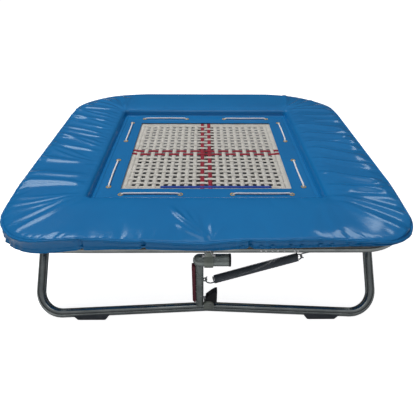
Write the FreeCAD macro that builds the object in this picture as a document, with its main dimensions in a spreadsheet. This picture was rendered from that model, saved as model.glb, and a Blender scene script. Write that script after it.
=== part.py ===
import FreeCAD, Part
import math
import os
import Sketcher

# A square mini trampoline on two folding U-legs.
# Origin: on the floor under the middle of the bed. +Z is up, -Y is the front.
# All sizes are in millimetres.

Vector = FreeCAD.Vector
Rotation = FreeCAD.Rotation
Placement = FreeCAD.Placement

document = FreeCAD.newDocument("Trampoline")
sheet = document.addObject("Spreadsheet::Sheet", "sizes")

DRIVING_SIZES = {
    # frame of round tube, with four bent corners
    "frame_half": 585,            # tube axis, from the middle
    "frame_height": 322,          # tube axis, above the floor
    "tube_radius": 15,
    "tube_wall": 2,
    "corner_bend": 140,
    "corner_tail": 15,            # straight end of a corner, before its joint
    "joint_gap": 0.4,
    "sleeve_length": 60,
    "sleeve_wall": 2,
    "slip_gap": 0.1,              # sleeves, plugs and rods in what holds them
    "run_gap": 0.06,              # pins and shafts that turn
    "rest_gap": 0.3,              # neighbours that only rest on each other
    # bed: woven web, hem, rods and springs
    "bed_rise": 10,               # bed plane, above the frame's tube axis
    "web_thickness": 3,
    "bed_half": 322,
    "hem_width": 47,
    "hem_thickness": 8,
    "rod_inset": 6,               # rod axis, from the hem's outer edge
    "rod_radius": 3,
    "rod_end": 22,                # rod's end, from the hem's outer edge
    "notch_width": 14,
    "notch_depth": 14,
    "spring_pitch": 66,
    "springs_per_side": 9,
    "spring_radius": 7,
    "spring_wire": 3,
    "spring_neck": 6,             # straight wire between a spring's hook and its coil
    "hook_radius": 5.2,
    "staple_radius": 6,
    "staple_wire": 4.4,
    "staple_reach": 15,           # staple centre, inside the tube axis
    # pads: foam in a sewn cover, with an inner flap laced to the springs
    "foam_overhang": 23,          # foam's outer edge, past the frame's tube axis
    "foam_corner": 168,
    "foam_clear": 54,             # foam's inner edge, past the bed's edge
    "foam_thickness": 30,
    "foam_joint": 0.6,
    "cover_thickness": 1.5,
    "skirt_drop": 44,             # height of the cover's outer skirt
    "flap_overlap": 30,           # flap's inner edge, inside the bed's edge
    "flap_lift": 9,               # flap's underside, above the bed plane
    "flap_joint": 0.4,
    "eyelet_clear": 18,           # eyelets, past the bed's edge
    "eyelet_near": 87,
    "eyelet_far": 285,
    "eyelet_bore": 5,
    "eyelet_barrel": 6.5,
    "eyelet_flange": 9,
    "eyelet_lip": 0.8,
    "cord_radius": 3,
    "cord_bend": 6,
    "tie_spread": 17,             # half the distance between a pair of frame ties
    "tie_shift": 5,
    # folding U-legs
    "leg_inset": 37,              # leg's tube axis, inside the frame's tube axis
    "hinge_reach": 290,           # hinge axis, from the middle
    "hinge_drop": 25,             # hinge axis, below the frame's tube axis
    "rail_inset": 25.6,           # foot rail's corners, inside the frame's tube axis
    "rail_height": 19.5,          # foot rail's corners, above the floor
    "rail_kink": 23,              # how far the rail's middle is bent up in the leg's plane
    "leg_bend": 75,
    "leg_end": 15,                # tube past the hinge axis
    "bush_radius": 7,
    "bush_flange_radius": 11,
    "bush_flange": 2,
    "bolt_radius": 5,
    "bolt_head": 6,
    "bolt_head_radius": 9,
    "nut_height": 8,
    "bracket_thickness": 5,
    "bracket_base": 44,
    "bracket_lower": 14,
    "plug_lip": 3,
    "plug_depth": 14,
    "foot_place": 379,            # middle of a foot, from the middle of the rail
    "foot_length": 128,
    "foot_base": 92,
    "foot_width": 38,
    "foot_rise": 26,
    # strut that props the frame's front tube on the foot rail
    "pivot_drop": 47,             # strut's pivot, below the frame's tube axis
    "cross_radius": 18.5,
    "cross_wall": 2.5,
    "cross_left": 22.5,
    "cross_right": 63,
    "cap_thickness": 6.4,
    "cap_rim": 0.6,
    "collar_radius": 22.5,
    "collar_length": 26,
    "collar_place": 5,
    "collar_neck": 22,
    "post_radius": 12.5,
    "post_wall": 2,
    "post_place": 22.5,
    "bar_width": 10,
    "bar_depth": 14,
    "bar_top": 22,
    "bar_length": 184,
    "eye_radius": 5.5,
    "eye_wire": 4,
    "eye_place": 94,              # spring eye, below the pivot
    "pin_radius": 4,
    "catch_height": 52,           # catch pin, above the rail's axis
    "catch_length": 15,
    # latch on the foot rail
    "latch_place": 7,             # middle of the latch housing, from the middle of the rail
    "housing_half_width": 16,
    "housing_depth": 28,
    "housing_height": 30,
    "housing_slot": 20,
    "latch_pin_place": 12,
    "latch_pin_height": 28,
    "lever_boss": 10.5,
    "lever_right": 33,
    "lever_top": 94,
    "lever_tip": 7,
    "lever_shoulder": 14,
    "lever_shoulder_height": 82,
    "lever_nose": 3,
    "nose_top": 60,
    "nose_bottom": 45,
    # tension spring between the strut and the frame
    "tension_radius": 13.5,
    "tension_wire": 4,
    "tension_length": 262,
    "tension_lean": 20,           # degrees above level
    "tension_hook": 15,
    "link_radius": 8,
    "link_wire": 3.6,
    "anchor_place": 314,
    "anchor_radius": 6,
    "anchor_wire": 4,
}

for row, (alias, number) in enumerate(DRIVING_SIZES.items(), start=1):
    sheet.set(f"A{row}", alias.replace("_", " "))
    sheet.set(f"B{row}", str(number))
    sheet.setAlias(f"B{row}", alias)
document.recompute()


class Size:
    """A length that knows its number and the expression that gives it."""

    def __init__(self, number, text):
        self.number = number
        self.text = text

    def join(self, other, sign, number):
        text = other.text if isinstance(other, Size) else str(other)
        return Size(number, f"({self.text} {sign} {text})")

    def __add__(self, other):
        return self.join(other, "+", self.number + plain(other))

    def __sub__(self, other):
        return self.join(other, "-", self.number - plain(other))

    def __mul__(self, other):
        return self.join(other, "*", self.number * plain(other))

    def __neg__(self):
        return Size(-self.number, f"(0 - {self.text})")


def plain(size):
    return size.number if isinstance(size, Size) else size


def size(alias):
    return Size(float(sheet.get(alias)), f"sizes.{alias}")


ZERO = Size(0.0, "0")
ALONG_X = Rotation(Vector(0, 1, 0), 90)      # turns +Z to +X
ALONG_Y = Rotation(Vector(1, 0, 0), -90)     # turns +Z to +Y
TURNS = {"front": 0, "right": 90, "rear": 180, "left": 270}
ENDS = ("front", "rear")
nodes = {}


def turned(degrees, placement=None):
    """A placement swung round the middle of the trampoline."""
    swing = Placement(Vector(), Rotation(Vector(0, 0, 1), degrees))
    return swing.multiply(placement or Placement())


def at(x=0.0, y=0.0, z=0.0, rotation=None):
    return Placement(Vector(plain(x), plain(y), plain(z)), rotation or Rotation())


def keep(label, piece, placement=None):
    """Registers a finished piece as the node of that name."""
    piece.Label = label
    if placement:
        piece.Placement = placement
    nodes[label] = piece
    return piece


# ---- sketches and features

def new_body(name):
    return document.addObject("PartDesign::Body", name)


def new_sketch(body, role, lift=None):
    sketch = body.newObject("Sketcher::SketchObject", "Sketch")
    plane = [f for f in body.Origin.OriginFeatures if f.Role == role][0]
    sketch.AttachmentSupport = [(plane, "")]
    sketch.MapMode = "FlatFace"
    if lift:
        sketch.setExpression("AttachmentOffset.Base.z", lift.text)
    return sketch


def fix(sketch, kind, item, end, length):
    index = sketch.addConstraint(
        Sketcher.Constraint(kind, -1, 1, item, end, plain(length)))
    sketch.setExpression(f"Constraints[{index}]", length.text)


def draw_circle(sketch, radius, x=ZERO, y=ZERO):
    circle = Part.Circle(Vector(x.number, y.number, 0), Vector(0, 0, 1), radius.number)
    item = sketch.addGeometry(circle, False)
    index = sketch.addConstraint(Sketcher.Constraint("Radius", item, radius.number))
    sketch.setExpression(f"Constraints[{index}]", radius.text)
    fix(sketch, "DistanceX", item, 3, x)
    fix(sketch, "DistanceY", item, 3, y)


def draw_outline(sketch, corners):
    first = sketch.GeometryCount
    count = len(corners)
    for (x0, y0), (x1, y1) in zip(corners, corners[1:] + corners[:1]):
        start = Vector(x0.number, y0.number, 0)
        end = Vector(x1.number, y1.number, 0)
        sketch.addGeometry(Part.LineSegment(start, end), False)
    for step in range(count):
        following = first + (step + 1) % count
        sketch.addConstraint(Sketcher.Constraint("Coincident", first + step, 2, following, 1))
    for step, (x, y) in enumerate(corners):
        fix(sketch, "DistanceX", first + step, 1, x)
        fix(sketch, "DistanceY", first + step, 1, y)


def add_pad(body, sketch, length):
    pad = body.newObject("PartDesign::Pad", "Pad")
    pad.Profile = sketch
    pad.setExpression("Length", length.text)
    return pad


def ring_tube(name, radius, wall, length):
    """A straight tube that runs along +X from the origin."""
    body = new_body(name)
    section = new_sketch(body, "YZ_Plane")
    draw_circle(section, radius)
    draw_circle(section, radius - wall)
    add_pad(body, section, length)
    return body


def bent_tube(name, plane, section_plane, side, start, bend, corner, end, section_lift=None):
    """A tube along a straight run, a bend and a second straight run.

    start, corner and end are points of the path's sketch. side is 1 where the path
    turns towards +x and -1 where it turns towards -x.
    """
    body = new_body(name)
    section = new_sketch(body, section_plane, section_lift)
    draw_circle(section, size("tube_radius"))
    draw_circle(section, size("tube_radius") - size("tube_wall"))
    path = new_sketch(body, plane)
    slope = math.atan2(end[1].number - corner[1].number, abs(end[0].number - corner[0].number))
    setback = bend.number / math.tan((math.pi / 2 - slope) / 2)
    top = Vector(0, start.number, 0)
    bend_top = Vector(0, corner[1].number + setback, 0)
    centre = Vector(side * bend.number, bend_top.y, 0)
    turn = math.pi / 2 + slope
    if side > 0:
        angles, first, last = (math.pi, math.pi + turn), 1, 2
    else:
        angles, first, last = (2 * math.pi - turn, 2 * math.pi), 2, 1
    arc = Part.ArcOfCircle(Part.Circle(centre, Vector(0, 0, 1), bend.number), *angles)
    path.addGeometry(Part.LineSegment(top, bend_top), False)
    path.addGeometry(arc, False)
    bend_end = arc.EndPoint if side > 0 else arc.StartPoint
    path_end = Vector(end[0].number, end[1].number, 0)
    path.addGeometry(Part.LineSegment(bend_end, path_end), False)
    path.addConstraint(Sketcher.Constraint("Tangent", 0, 2, 1, first))
    path.addConstraint(Sketcher.Constraint("Tangent", 1, last, 2, 1))
    path.addConstraint(Sketcher.Constraint("Vertical", 0))
    radius = path.addConstraint(Sketcher.Constraint("Radius", 1, bend.number))
    path.setExpression(f"Constraints[{radius}]", bend.text)
    fix(path, "DistanceX", 0, 1, ZERO)
    fix(path, "DistanceY", 0, 1, start)
    fix(path, "DistanceX", 2, 2, end[0])
    fix(path, "DistanceY", 2, 2, end[1])
    path.addConstraint(Sketcher.Constraint("Angle", 2, slope if side > 0 else math.pi - slope))
    document.recompute()
    pipe = body.newObject("PartDesign::AdditivePipe", "Pipe")
    pipe.Profile = section
    pipe.Spine = (path, ["Edge1", "Edge2", "Edge3"])
    return body


def cylinder(name, radius, height, placement=None):
    piece = document.addObject("Part::Cylinder", name)
    piece.setExpression("Radius", radius.text)
    piece.setExpression("Height", height.text)
    if placement:
        piece.Placement = placement
    return piece


def block(name, length, width, height, placement=None):
    """A box centred on X and Y that stands on its placement."""
    piece = document.addObject("Part::Box", name)
    piece.setExpression("Length", length.text)
    piece.setExpression("Width", width.text)
    piece.setExpression("Height", height.text)
    centre = at(-plain(length) / 2, -plain(width) / 2)
    piece.Placement = (placement or Placement()).multiply(centre)
    return piece


def torus(name, radius, wire, placement=None):
    piece = document.addObject("Part::Torus", name)
    piece.setExpression("Radius1", radius.text)
    piece.setExpression("Radius2", f"{wire.text} / 2")
    if placement:
        piece.Placement = placement
    return piece


def join(name, pieces):
    fused = document.addObject("Part::MultiFuse", name)
    fused.Shapes = pieces
    return fused


def cut(name, base, tools):
    result = document.addObject("Part::Cut", name)
    result.Base = base
    result.Tool = tools[0] if len(tools) == 1 else join(f"{name}Tools", tools)
    return result


def group(name, pieces):
    compound = document.addObject("Part::Compound", name)
    compound.Links = pieces
    return compound


def solid_piece(name, shape):
    piece = document.addObject("Part::Feature", name)
    piece.Shape = shape
    return piece


def wire_along(edges, radius):
    """A round wire swept along joined lines and arcs."""
    path = Part.Wire(edges)
    first = edges[0]
    start = first.valueAt(first.FirstParameter)
    heading = first.tangentAt(first.FirstParameter)
    section = Part.Wire(Part.Circle(start, heading, radius).toShape())
    sweep = path.makePipeShell([section], True, True)
    return sweep


def arc_edge(centre, across, up, radius, from_degrees, to_degrees):
    """An arc in the plane of across and up, counted from across towards up."""
    def point(degrees):
        turn = math.radians(degrees)
        return centre + across * (radius * math.cos(turn)) + up * (radius * math.sin(turn))
    middle = (from_degrees + to_degrees) / 2
    return Part.Arc(point(from_degrees), point(middle), point(to_degrees)).toShape()


# ---- shared places

frame_half = size("frame_half")
frame_height = size("frame_height")
tube_radius = size("tube_radius")
tube_bore = tube_radius - size("tube_wall")
bed_height = frame_height + size("bed_rise")
web_half = size("bed_half") - size("hem_width")
rod_half_length = size("bed_half") - size("rod_end")
foam_half = frame_half + size("foam_overhang")
foam_inner_half = size("bed_half") + size("foam_clear")
opening_half = size("bed_half") - size("flap_overlap")
eyelet_line = size("bed_half") + size("eyelet_clear")
leg_half_width = frame_half - size("leg_inset")
rail_reach = frame_half - size("rail_inset")
hinge_height = frame_height - size("hinge_drop")
pivot_height = frame_height - size("pivot_drop")
leg_run = plain(rail_reach - size("hinge_reach"))
leg_fall = plain(hinge_height - size("rail_height"))
leg_length = math.hypot(leg_run, leg_fall)
leg_lean = math.degrees(math.atan2(leg_run, leg_fall))
rail_middle = Vector(
    0,
    -plain(rail_reach) + plain(size("rail_kink")) * leg_run / leg_length,
    plain(size("rail_height")) + plain(size("rail_kink")) * leg_fall / leg_length,
)
pivot = Vector(0, -plain(frame_half), plain(pivot_height))
strut_length = pivot.distanceToPoint(rail_middle)
strut_lean = math.degrees(math.atan2(rail_middle.y - pivot.y, pivot.z - rail_middle.z))
STRUT = Placement(pivot, Rotation(Vector(1, 0, 0), strut_lean))
LATCH = Placement(rail_middle, Rotation(Vector(1, 0, 0), strut_lean))


# ---- frame: four rails, four corners and the sleeves that join them

def build_frame():
    straight_half = frame_half - size("corner_bend") - size("corner_tail")
    rail_length = (straight_half - size("joint_gap")) * 2
    for side, degrees in TURNS.items():
        rail = ring_tube(f"{side}_rail", tube_radius, size("tube_wall"), rail_length)
        place = at(-rail_length.number / 2, -frame_half, frame_height)
        keep(f"{side}_rail", rail, turned(degrees, place))
    corner_start = frame_half - size("corner_bend") - size("corner_tail")
    names = ("front_left", "front_right", "rear_right", "rear_left")
    for name, degrees in zip(names, TURNS.values()):
        reach = size("corner_tail") + size("corner_bend")
        corner = bent_tube(
            f"{name}_corner", "XY_Plane", "XZ_Plane", 1, ZERO, size("corner_bend"),
            (ZERO, -reach), (reach, -reach))
        place = at(-frame_half, -corner_start, frame_height)
        keep(f"{name}_corner", corner, turned(degrees, place))
    sleeves = []
    for degrees in TURNS.values():
        for side in (-1, 1):
            sleeve = ring_tube(
                "Sleeve", tube_bore - size("slip_gap"), size("sleeve_wall"), size("sleeve_length"))
            tail_end = straight_half.number + plain(size("corner_tail"))
            start = -tail_end if side < 0 else tail_end - plain(size("sleeve_length"))
            sleeve.Placement = turned(degrees, at(start, -frame_half, frame_height))
            sleeves.append(sleeve)
    keep("corner_sleeves", group("CornerSleeves", sleeves))


# ---- what repeats along each side of the bed

def spring_offsets():
    count = int(plain(size("springs_per_side")))
    return [plain(size("spring_pitch")) * (step - (count - 1) / 2) for step in range(count)]


def around_the_bed(shape, offsets):
    """Copies of a shape that is drawn on the +X side, at each offset of each side."""
    copies = []
    for degrees in TURNS.values():
        for offset in offsets:
            copy = shape.copy()
            copy.Placement = turned(degrees, at(0, offset, 0)).multiply(shape.Placement)
            copies.append(copy)
    return Part.makeCompound(copies)


def build_staples():
    """Welded rings on the inside of the frame that the bed's springs hook into."""
    centre = at(frame_half - size("staple_reach"), 0, bed_height)
    ring = torus("StapleRing", size("staple_radius"), size("staple_wire"), centre)
    reach = size("notch_width") * 2
    tube = cylinder("StapleTube", tube_radius, reach,
                    at(frame_half, -reach.number / 2, frame_height, ALONG_Y))
    staple = cut("Staple", ring, [tube])
    document.recompute()
    keep("spring_staples", solid_piece("Staples", around_the_bed(staple.Shape, spring_offsets())))


def build_springs():
    """Bed springs: a coil drawn as its sleeve, with a hook ring at each end."""
    wire = plain(size("spring_wire")) / 2
    hook = plain(size("hook_radius"))
    gap = plain(size("rest_gap"))
    outer = plain(size("spring_radius"))
    height = plain(bed_height)
    rod = plain(size("bed_half") - size("rod_inset"))
    inner_hook = rod + hook - wire - plain(size("rod_radius")) - gap
    staple_wire = plain(size("staple_wire")) / 2
    staple = plain(frame_half - size("staple_reach") - size("staple_radius"))
    outer_hook = staple + staple_wire + wire + gap - hook
    neck = hook + plain(size("spring_neck"))
    x_axis = Vector(1, 0, 0)
    coil_start = inner_hook + neck
    coil_end = outer_hook - neck
    length = coil_end - coil_start
    coil = Part.makeCylinder(outer, length, Vector(coil_start, 0, height), x_axis)
    bore = Part.makeCylinder(outer - 2 * wire, length, Vector(coil_start, 0, height), x_axis)
    pieces = []
    for hook_place, bar_place in ((inner_hook, coil_start + wire), (outer_hook, coil_end - wire)):
        ring_centre = Vector(hook_place, 0, height)
        pieces.append(Part.makeTorus(hook, wire, ring_centre, Vector(0, 1, 0)))
        span = 2 * (outer - wire)
        bar_foot = Vector(bar_place, 0, height - span / 2)
        pieces.append(Part.makeCylinder(wire, span, bar_foot))
        near = min(bar_place, hook_place + math.copysign(hook, bar_place - hook_place))
        far = max(bar_place, hook_place + math.copysign(hook, bar_place - hook_place))
        pieces.append(Part.makeCylinder(wire, far - near, Vector(near, 0, height), x_axis))
    spring = coil.cut(bore).fuse(pieces).removeSplitter()
    keep("bed_springs", solid_piece("BedSprings", around_the_bed(spring, spring_offsets())))


# ---- bed

def build_bed():
    web = block("Web", web_half * 2, web_half * 2, size("web_thickness"),
                at(0, 0, bed_height - size("web_thickness") * 0.5))
    keep("bed_web", web)
    outer = size("bed_half")
    inner = web_half
    half_hem = size("hem_thickness") * 0.5
    rod_line = outer - size("rod_inset")
    strips = []
    rods = []
    for degrees in TURNS.values():
        body = new_body("HemStrip")
        outline = new_sketch(body, "XY_Plane")
        draw_outline(outline, [(-outer, -outer), (outer, -outer), (inner, -inner), (-inner, -inner)])
        add_pad(body, outline, size("hem_thickness"))
        notch = new_sketch(body, "XY_Plane")
        first = size("spring_pitch") * (-(plain(size("springs_per_side")) - 1) / 2)
        half = size("notch_width") * 0.5
        floor = size("notch_depth") - outer
        draw_outline(notch, [(first - half, -outer), (first + half, -outer),
                             (first + half, floor), (first - half, floor)])
        document.recompute()
        pocket = body.newObject("PartDesign::Pocket", "Notch")
        pocket.Profile = notch
        pocket.Type = "ThroughAll"
        pocket.Reversed = True
        document.recompute()
        pattern = body.newObject("PartDesign::LinearPattern", "Notches")
        pattern.Originals = [pocket]
        pattern.Direction = (notch, ["H_Axis"])
        pattern.setExpression("Length", "sizes.spring_pitch * (sizes.springs_per_side - 1)")
        pattern.setExpression("Occurrences", "sizes.springs_per_side")
        body.Tip = pattern
        reach = outer * 2
        bore = cylinder("RodBore", size("rod_radius") + size("slip_gap"), reach,
                        at(-outer, -rod_line, half_hem, ALONG_X))
        strip = cut("HemStripCut", body, [bore])
        strip.Placement = turned(degrees, at(0, 0, bed_height - half_hem))
        strips.append(strip)
        rod = cylinder("Rod", size("rod_radius"), rod_half_length * 2)
        rod_place = at(-rod_half_length, -rod_line, bed_height, ALONG_X)
        rod.Placement = turned(degrees, rod_place)
        rods.append(rod)
    keep("bed_hem", group("BedHem", strips))
    keep("bed_rods", group("BedRods", rods))


# ---- pads

spring_top = bed_height + size("spring_radius")
foam_floor = spring_top + size("rest_gap")
foam_top = foam_floor + size("foam_thickness")
cover_top = foam_top + size("rest_gap") + size("cover_thickness")
cover_half = foam_half + size("rest_gap") + size("cover_thickness")
cover_inner_half = foam_inner_half - size("rest_gap") - size("cover_thickness")
flap_floor = bed_height + size("flap_lift")


def rounded_block(name, half, corner, height, floor):
    """A square slab with four rounded upright corners."""
    slab = block(f"{name}Slab", half * 2, half * 2, height, at(0, 0, floor))
    document.recompute()
    upright = []
    for number, edge in enumerate(slab.Shape.Edges, start=1):
        if abs(edge.tangentAt(edge.FirstParameter).z) > 0.5:
            upright.append((number, plain(corner), plain(corner)))
    fillet = document.addObject("Part::Fillet", name)
    fillet.Base = slab
    fillet.Edges = upright
    return fillet


def build_foam():
    outside = rounded_block("FoamOutside", foam_half, size("foam_corner"),
                            size("foam_thickness"), foam_floor)
    inside = block("FoamInside", foam_inner_half * 2, foam_inner_half * 2,
                   size("foam_thickness"), at(0, 0, foam_floor))
    ring = cut("FoamRing", outside, [inside])
    reach = foam_half + size("foam_joint")
    half_joint = size("foam_joint") * 0.5
    for side, degrees in TURNS.items():
        wedge = new_body("FoamWedge")
        outline = new_sketch(wedge, "XY_Plane")
        draw_outline(outline, [(ZERO, -half_joint), (-reach, -reach - half_joint),
                               (reach, -reach - half_joint)])
        add_pad(wedge, outline, size("foam_thickness"))
        wedge.Placement = turned(degrees, at(0, 0, foam_floor))
        slab = document.addObject("Part::Common", f"{side}_foam")
        slab.Base = ring
        slab.Tool = wedge
        keep(f"{side}_foam", slab)


def build_cover():
    gap = size("rest_gap")
    sheet_thickness = size("cover_thickness")
    drop = size("skirt_drop")
    outside = rounded_block("CoverOutside", cover_half,
                            size("foam_corner") + gap + sheet_thickness, drop, cover_top - drop)
    hollow = rounded_block("CoverHollow", foam_half + gap, size("foam_corner") + gap,
                           drop - sheet_thickness, cover_top - drop)
    core_half = foam_inner_half - gap
    core = block("CoverCore", core_half * 2, core_half * 2, drop, at(0, 0, cover_top - drop))
    cavity = cut("CoverCavity", hollow, [core])
    hole = block("CoverHole", cover_inner_half * 2, cover_inner_half * 2, drop,
                 at(0, 0, cover_top - drop))
    under = block("CoverUnder", foam_inner_half * 2, foam_inner_half * 2,
                  drop - (cover_top - foam_floor), at(0, 0, cover_top - drop))
    keep("pad_cover", cut("PadCover", outside, [cavity, hole, under]))


def build_flaps():
    """The cover's inner flap in four mitred strips, each with four eyelet holes."""
    outer = cover_inner_half
    inner = opening_half
    joint = size("flap_joint")
    strips = []
    for degrees in TURNS.values():
        body = new_body("Flap")
        outline = new_sketch(body, "XY_Plane")
        draw_outline(outline, [(joint - outer, -outer), (outer - joint, -outer),
                               (inner - joint, -inner), (joint - inner, -inner)])
        for place in (size("eyelet_near"), size("eyelet_far")):
            draw_circle(outline, size("eyelet_barrel"), place, -eyelet_line)
            draw_circle(outline, size("eyelet_barrel"), -place, -eyelet_line)
        add_pad(body, outline, size("cover_thickness"))
        body.Placement = turned(degrees, at(0, 0, flap_floor))
        strips.append(body)
    keep("pad_flaps", group("PadFlaps", strips))


def eyelet_offsets():
    near = plain(size("eyelet_near"))
    far = plain(size("eyelet_far"))
    return [-far, -near, near, far]


def build_eyelets():
    lip = size("eyelet_lip")
    flap = size("cover_thickness")
    line = eyelet_line
    barrel = cylinder("EyeletBarrel", size("eyelet_barrel"), flap, at(line, 0, flap_floor))
    upper = cylinder("EyeletUpper", size("eyelet_flange"), lip, at(line, 0, flap_floor + flap))
    lower = cylinder("EyeletLower", size("eyelet_flange"), lip, at(line, 0, flap_floor - lip))
    body = join("EyeletBody", [barrel, upper, lower])
    bore = cylinder("EyeletBore", size("eyelet_bore"), flap + lip * 2,
                    at(line, 0, flap_floor - lip))
    eyelet = cut("Eyelet", body, [bore])
    document.recompute()
    keep("pad_eyelets", solid_piece("PadEyelets", around_the_bed(eyelet.Shape, eyelet_offsets())))


def build_tie_cords():
    """Cord loops that lace the flap to the springs, through two eyelets each."""
    radius = plain(size("cord_radius"))
    bend = plain(size("cord_bend"))
    gap = plain(size("rest_gap"))
    near = plain(size("eyelet_near"))
    far = plain(size("eyelet_far"))
    line = plain(eyelet_line)
    top = plain(flap_floor + size("cover_thickness") + size("eyelet_lip")) + radius + gap
    bottom = plain(bed_height - size("spring_radius")) - radius - gap
    across = Vector(0, 1, 0)
    up = Vector(0, 0, 1)
    loops = []
    for low, high in ((near, far), (-far, -near)):
        corners = ((high - bend, top - bend, 0), (low + bend, top - bend, 90),
                   (low + bend, bottom + bend, 180), (high - bend, bottom + bend, 270))
        arcs = [arc_edge(Vector(line, y, z), across, up, bend, start, start + 90)
                for y, z, start in corners]
        edges = []
        for arc, following in zip(arcs, arcs[1:] + arcs[:1]):
            edges.append(arc)
            leave = arc.valueAt(arc.LastParameter)
            arrive = following.valueAt(following.FirstParameter)
            edges.append(Part.LineSegment(leave, arrive).toShape())
        loops.append(wire_along(edges, radius))
    shape = Part.makeCompound(loops)
    keep("pad_tie_cords", solid_piece("PadTieCords", around_the_bed(shape, [0.0])))


def build_frame_ties():
    """Cords from the middle of each skirt, down round the frame tube."""
    radius = plain(size("cord_radius"))
    bend = plain(tube_radius) + radius + plain(size("rest_gap"))
    shape = []
    for side in (-1, 1):
        offset = plain(size("tie_shift")) + side * plain(size("tie_spread"))
        centre = Vector(plain(frame_half), offset, plain(frame_height))
        arc = arc_edge(centre, Vector(1, 0, 0), Vector(0, 0, -1), bend, -20, 200)
        shape.append(wire_along([arc], radius))
    keep("frame_ties", solid_piece("FrameTies", around_the_bed(Part.makeCompound(shape), [0.0])))


# ---- leg hinges

def hinge_place(side, x, rotation=None):
    return at(side * plain(x), -size("hinge_reach"), hinge_height, rotation)


def build_hinges():
    """Brackets, bolts and nuts on the frame that carry both legs."""
    bolts = []
    nuts = []
    leg_outside = leg_half_width + tube_radius
    bush_outside = leg_outside + size("bush_flange")
    plate_inside = bush_outside + size("rest_gap")
    plate_outside = plate_inside + size("bracket_thickness")
    leg_inside = leg_half_width - tube_radius
    nut_outside = leg_inside - size("bush_flange") - size("rest_gap")
    shank = plate_outside - nut_outside + size("nut_height")
    half_base = size("bracket_base") * 0.5
    for end in ENDS:
        plates = []
        for side in (-1, 1):
            body = new_body("HingePlate")
            outline = new_sketch(body, "YZ_Plane")
            draw_outline(outline, [(-half_base, -size("bracket_lower")),
                                   (half_base, -size("bracket_lower")),
                                   (half_base, size("hinge_drop")),
                                   (-half_base, size("hinge_drop"))])
            add_pad(body, outline, size("bracket_thickness"))
            start = plate_inside if side > 0 else plate_outside
            body.Placement = hinge_place(side, start)
            bolt_hole = cylinder("HingeHole", size("bolt_radius"), size("bracket_thickness") * 3,
                                 hinge_place(side, plate_inside - size("bracket_thickness"), ALONG_X))
            if side < 0:
                bolt_hole.Placement = hinge_place(
                    side, plate_outside + size("bracket_thickness"), ALONG_X)
            tube = cylinder("HingeTube", tube_radius, frame_half * 2,
                            at(side * frame_half.number, -frame_half, frame_height, ALONG_Y))
            plates.append(cut("HingePlateCut", body, [bolt_hole, tube]))
            outward = ALONG_X if side > 0 else Rotation(Vector(0, 1, 0), -90)
            head = document.addObject("Part::Prism", "BoltHead")
            head.Polygon = 6
            head.setExpression("Circumradius", size("bolt_head_radius").text)
            head.setExpression("Height", size("bolt_head").text)
            head.Placement = hinge_place(side, plate_outside, outward)
            shaft = cylinder("BoltShank", size("bolt_radius"), shank,
                             hinge_place(side, nut_outside - size("nut_height"), outward))
            bolt = join("HingeBolt", [head, shaft])
            bolt.Placement = turned(TURNS[end])
            bolts.append(bolt)
            hexagon = document.addObject("Part::Prism", "NutHexagon")
            hexagon.Polygon = 6
            hexagon.setExpression("Circumradius", size("bolt_head_radius").text)
            hexagon.setExpression("Height", size("nut_height").text)
            hexagon.Placement = hinge_place(side, nut_outside - size("nut_height"), outward)
            thread = cylinder("NutThread", size("bolt_radius"), size("nut_height"),
                              hinge_place(side, nut_outside - size("nut_height"), outward))
            nut = cut("HingeNut", hexagon, [thread])
            nut.Placement = turned(TURNS[end])
            nuts.append(nut)
        keep(f"{end}_hinge_brackets", group(f"{end}_hinge_brackets", plates), turned(TURNS[end]))
    keep("hinge_bolts", group("HingeBolts", bolts))
    keep("hinge_nuts", group("HingeNuts", nuts))


# ---- legs

def leg_place(side):
    """A leg half's own frame: its origin on the hinge, its tube along -Z."""
    lean = Rotation(Vector(1, 0, 0), -leg_lean)
    return hinge_place(side, leg_half_width, lean)


def build_leg(end):
    turn = turned(TURNS[end])
    width = leg_half_width
    kink = size("rail_kink")
    sides = {"left": -1, "right": 1}
    overrun = 40
    rise_per_width = kink.number / width.number
    bushes = []
    plugs = []
    for name, side in sides.items():
        corner = (ZERO, Size(-leg_length, str(-leg_length)))
        far_x = (width + overrun) * -side
        far_height = -leg_length + rise_per_width * (width.number + overrun)
        tube = bent_tube(
            f"{end}_{name}_tube", "XZ_Plane", "XY_Plane", -side, size("leg_end"),
            size("leg_bend"), corner, (far_x, Size(far_height, str(far_height))), size("leg_end"))
        tube.Placement = leg_place(side)
        bore = cylinder("HingeBore", size("bush_radius"), tube_radius * 4,
                        at(side * width.number - 2 * plain(tube_radius), -size("hinge_reach"),
                           hinge_height, ALONG_X))
        half_space = block("MiddleCut", width * 2, frame_half * 2, frame_height,
                           at(-side * width.number, -frame_half, -tube_radius.number))
        half = cut(f"{end}_leg_{name}_half", tube, [bore, half_space])
        keep(f"{end}_leg_{name}_half", half, turn)
        bushes.append(build_bush(side, turn))
        lip = cylinder("PlugLip", tube_radius, size("plug_lip"), at(0, 0, size("leg_end")))
        stem_length = size("leg_end") - size("bush_radius") - size("rest_gap")
        stem = cylinder("PlugStem", tube_bore - size("slip_gap"), stem_length,
                        at(0, 0, size("leg_end") - stem_length))
        plug = join("LegPlug", [lip, stem])
        plug.Placement = turn.multiply(leg_place(side))
        plugs.append(plug)
    keep(f"{end}_leg_bushes", group(f"{end}_leg_bushes", bushes))
    keep(f"{end}_leg_plugs", group(f"{end}_leg_plugs", plugs))
    build_feet(end)


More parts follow.
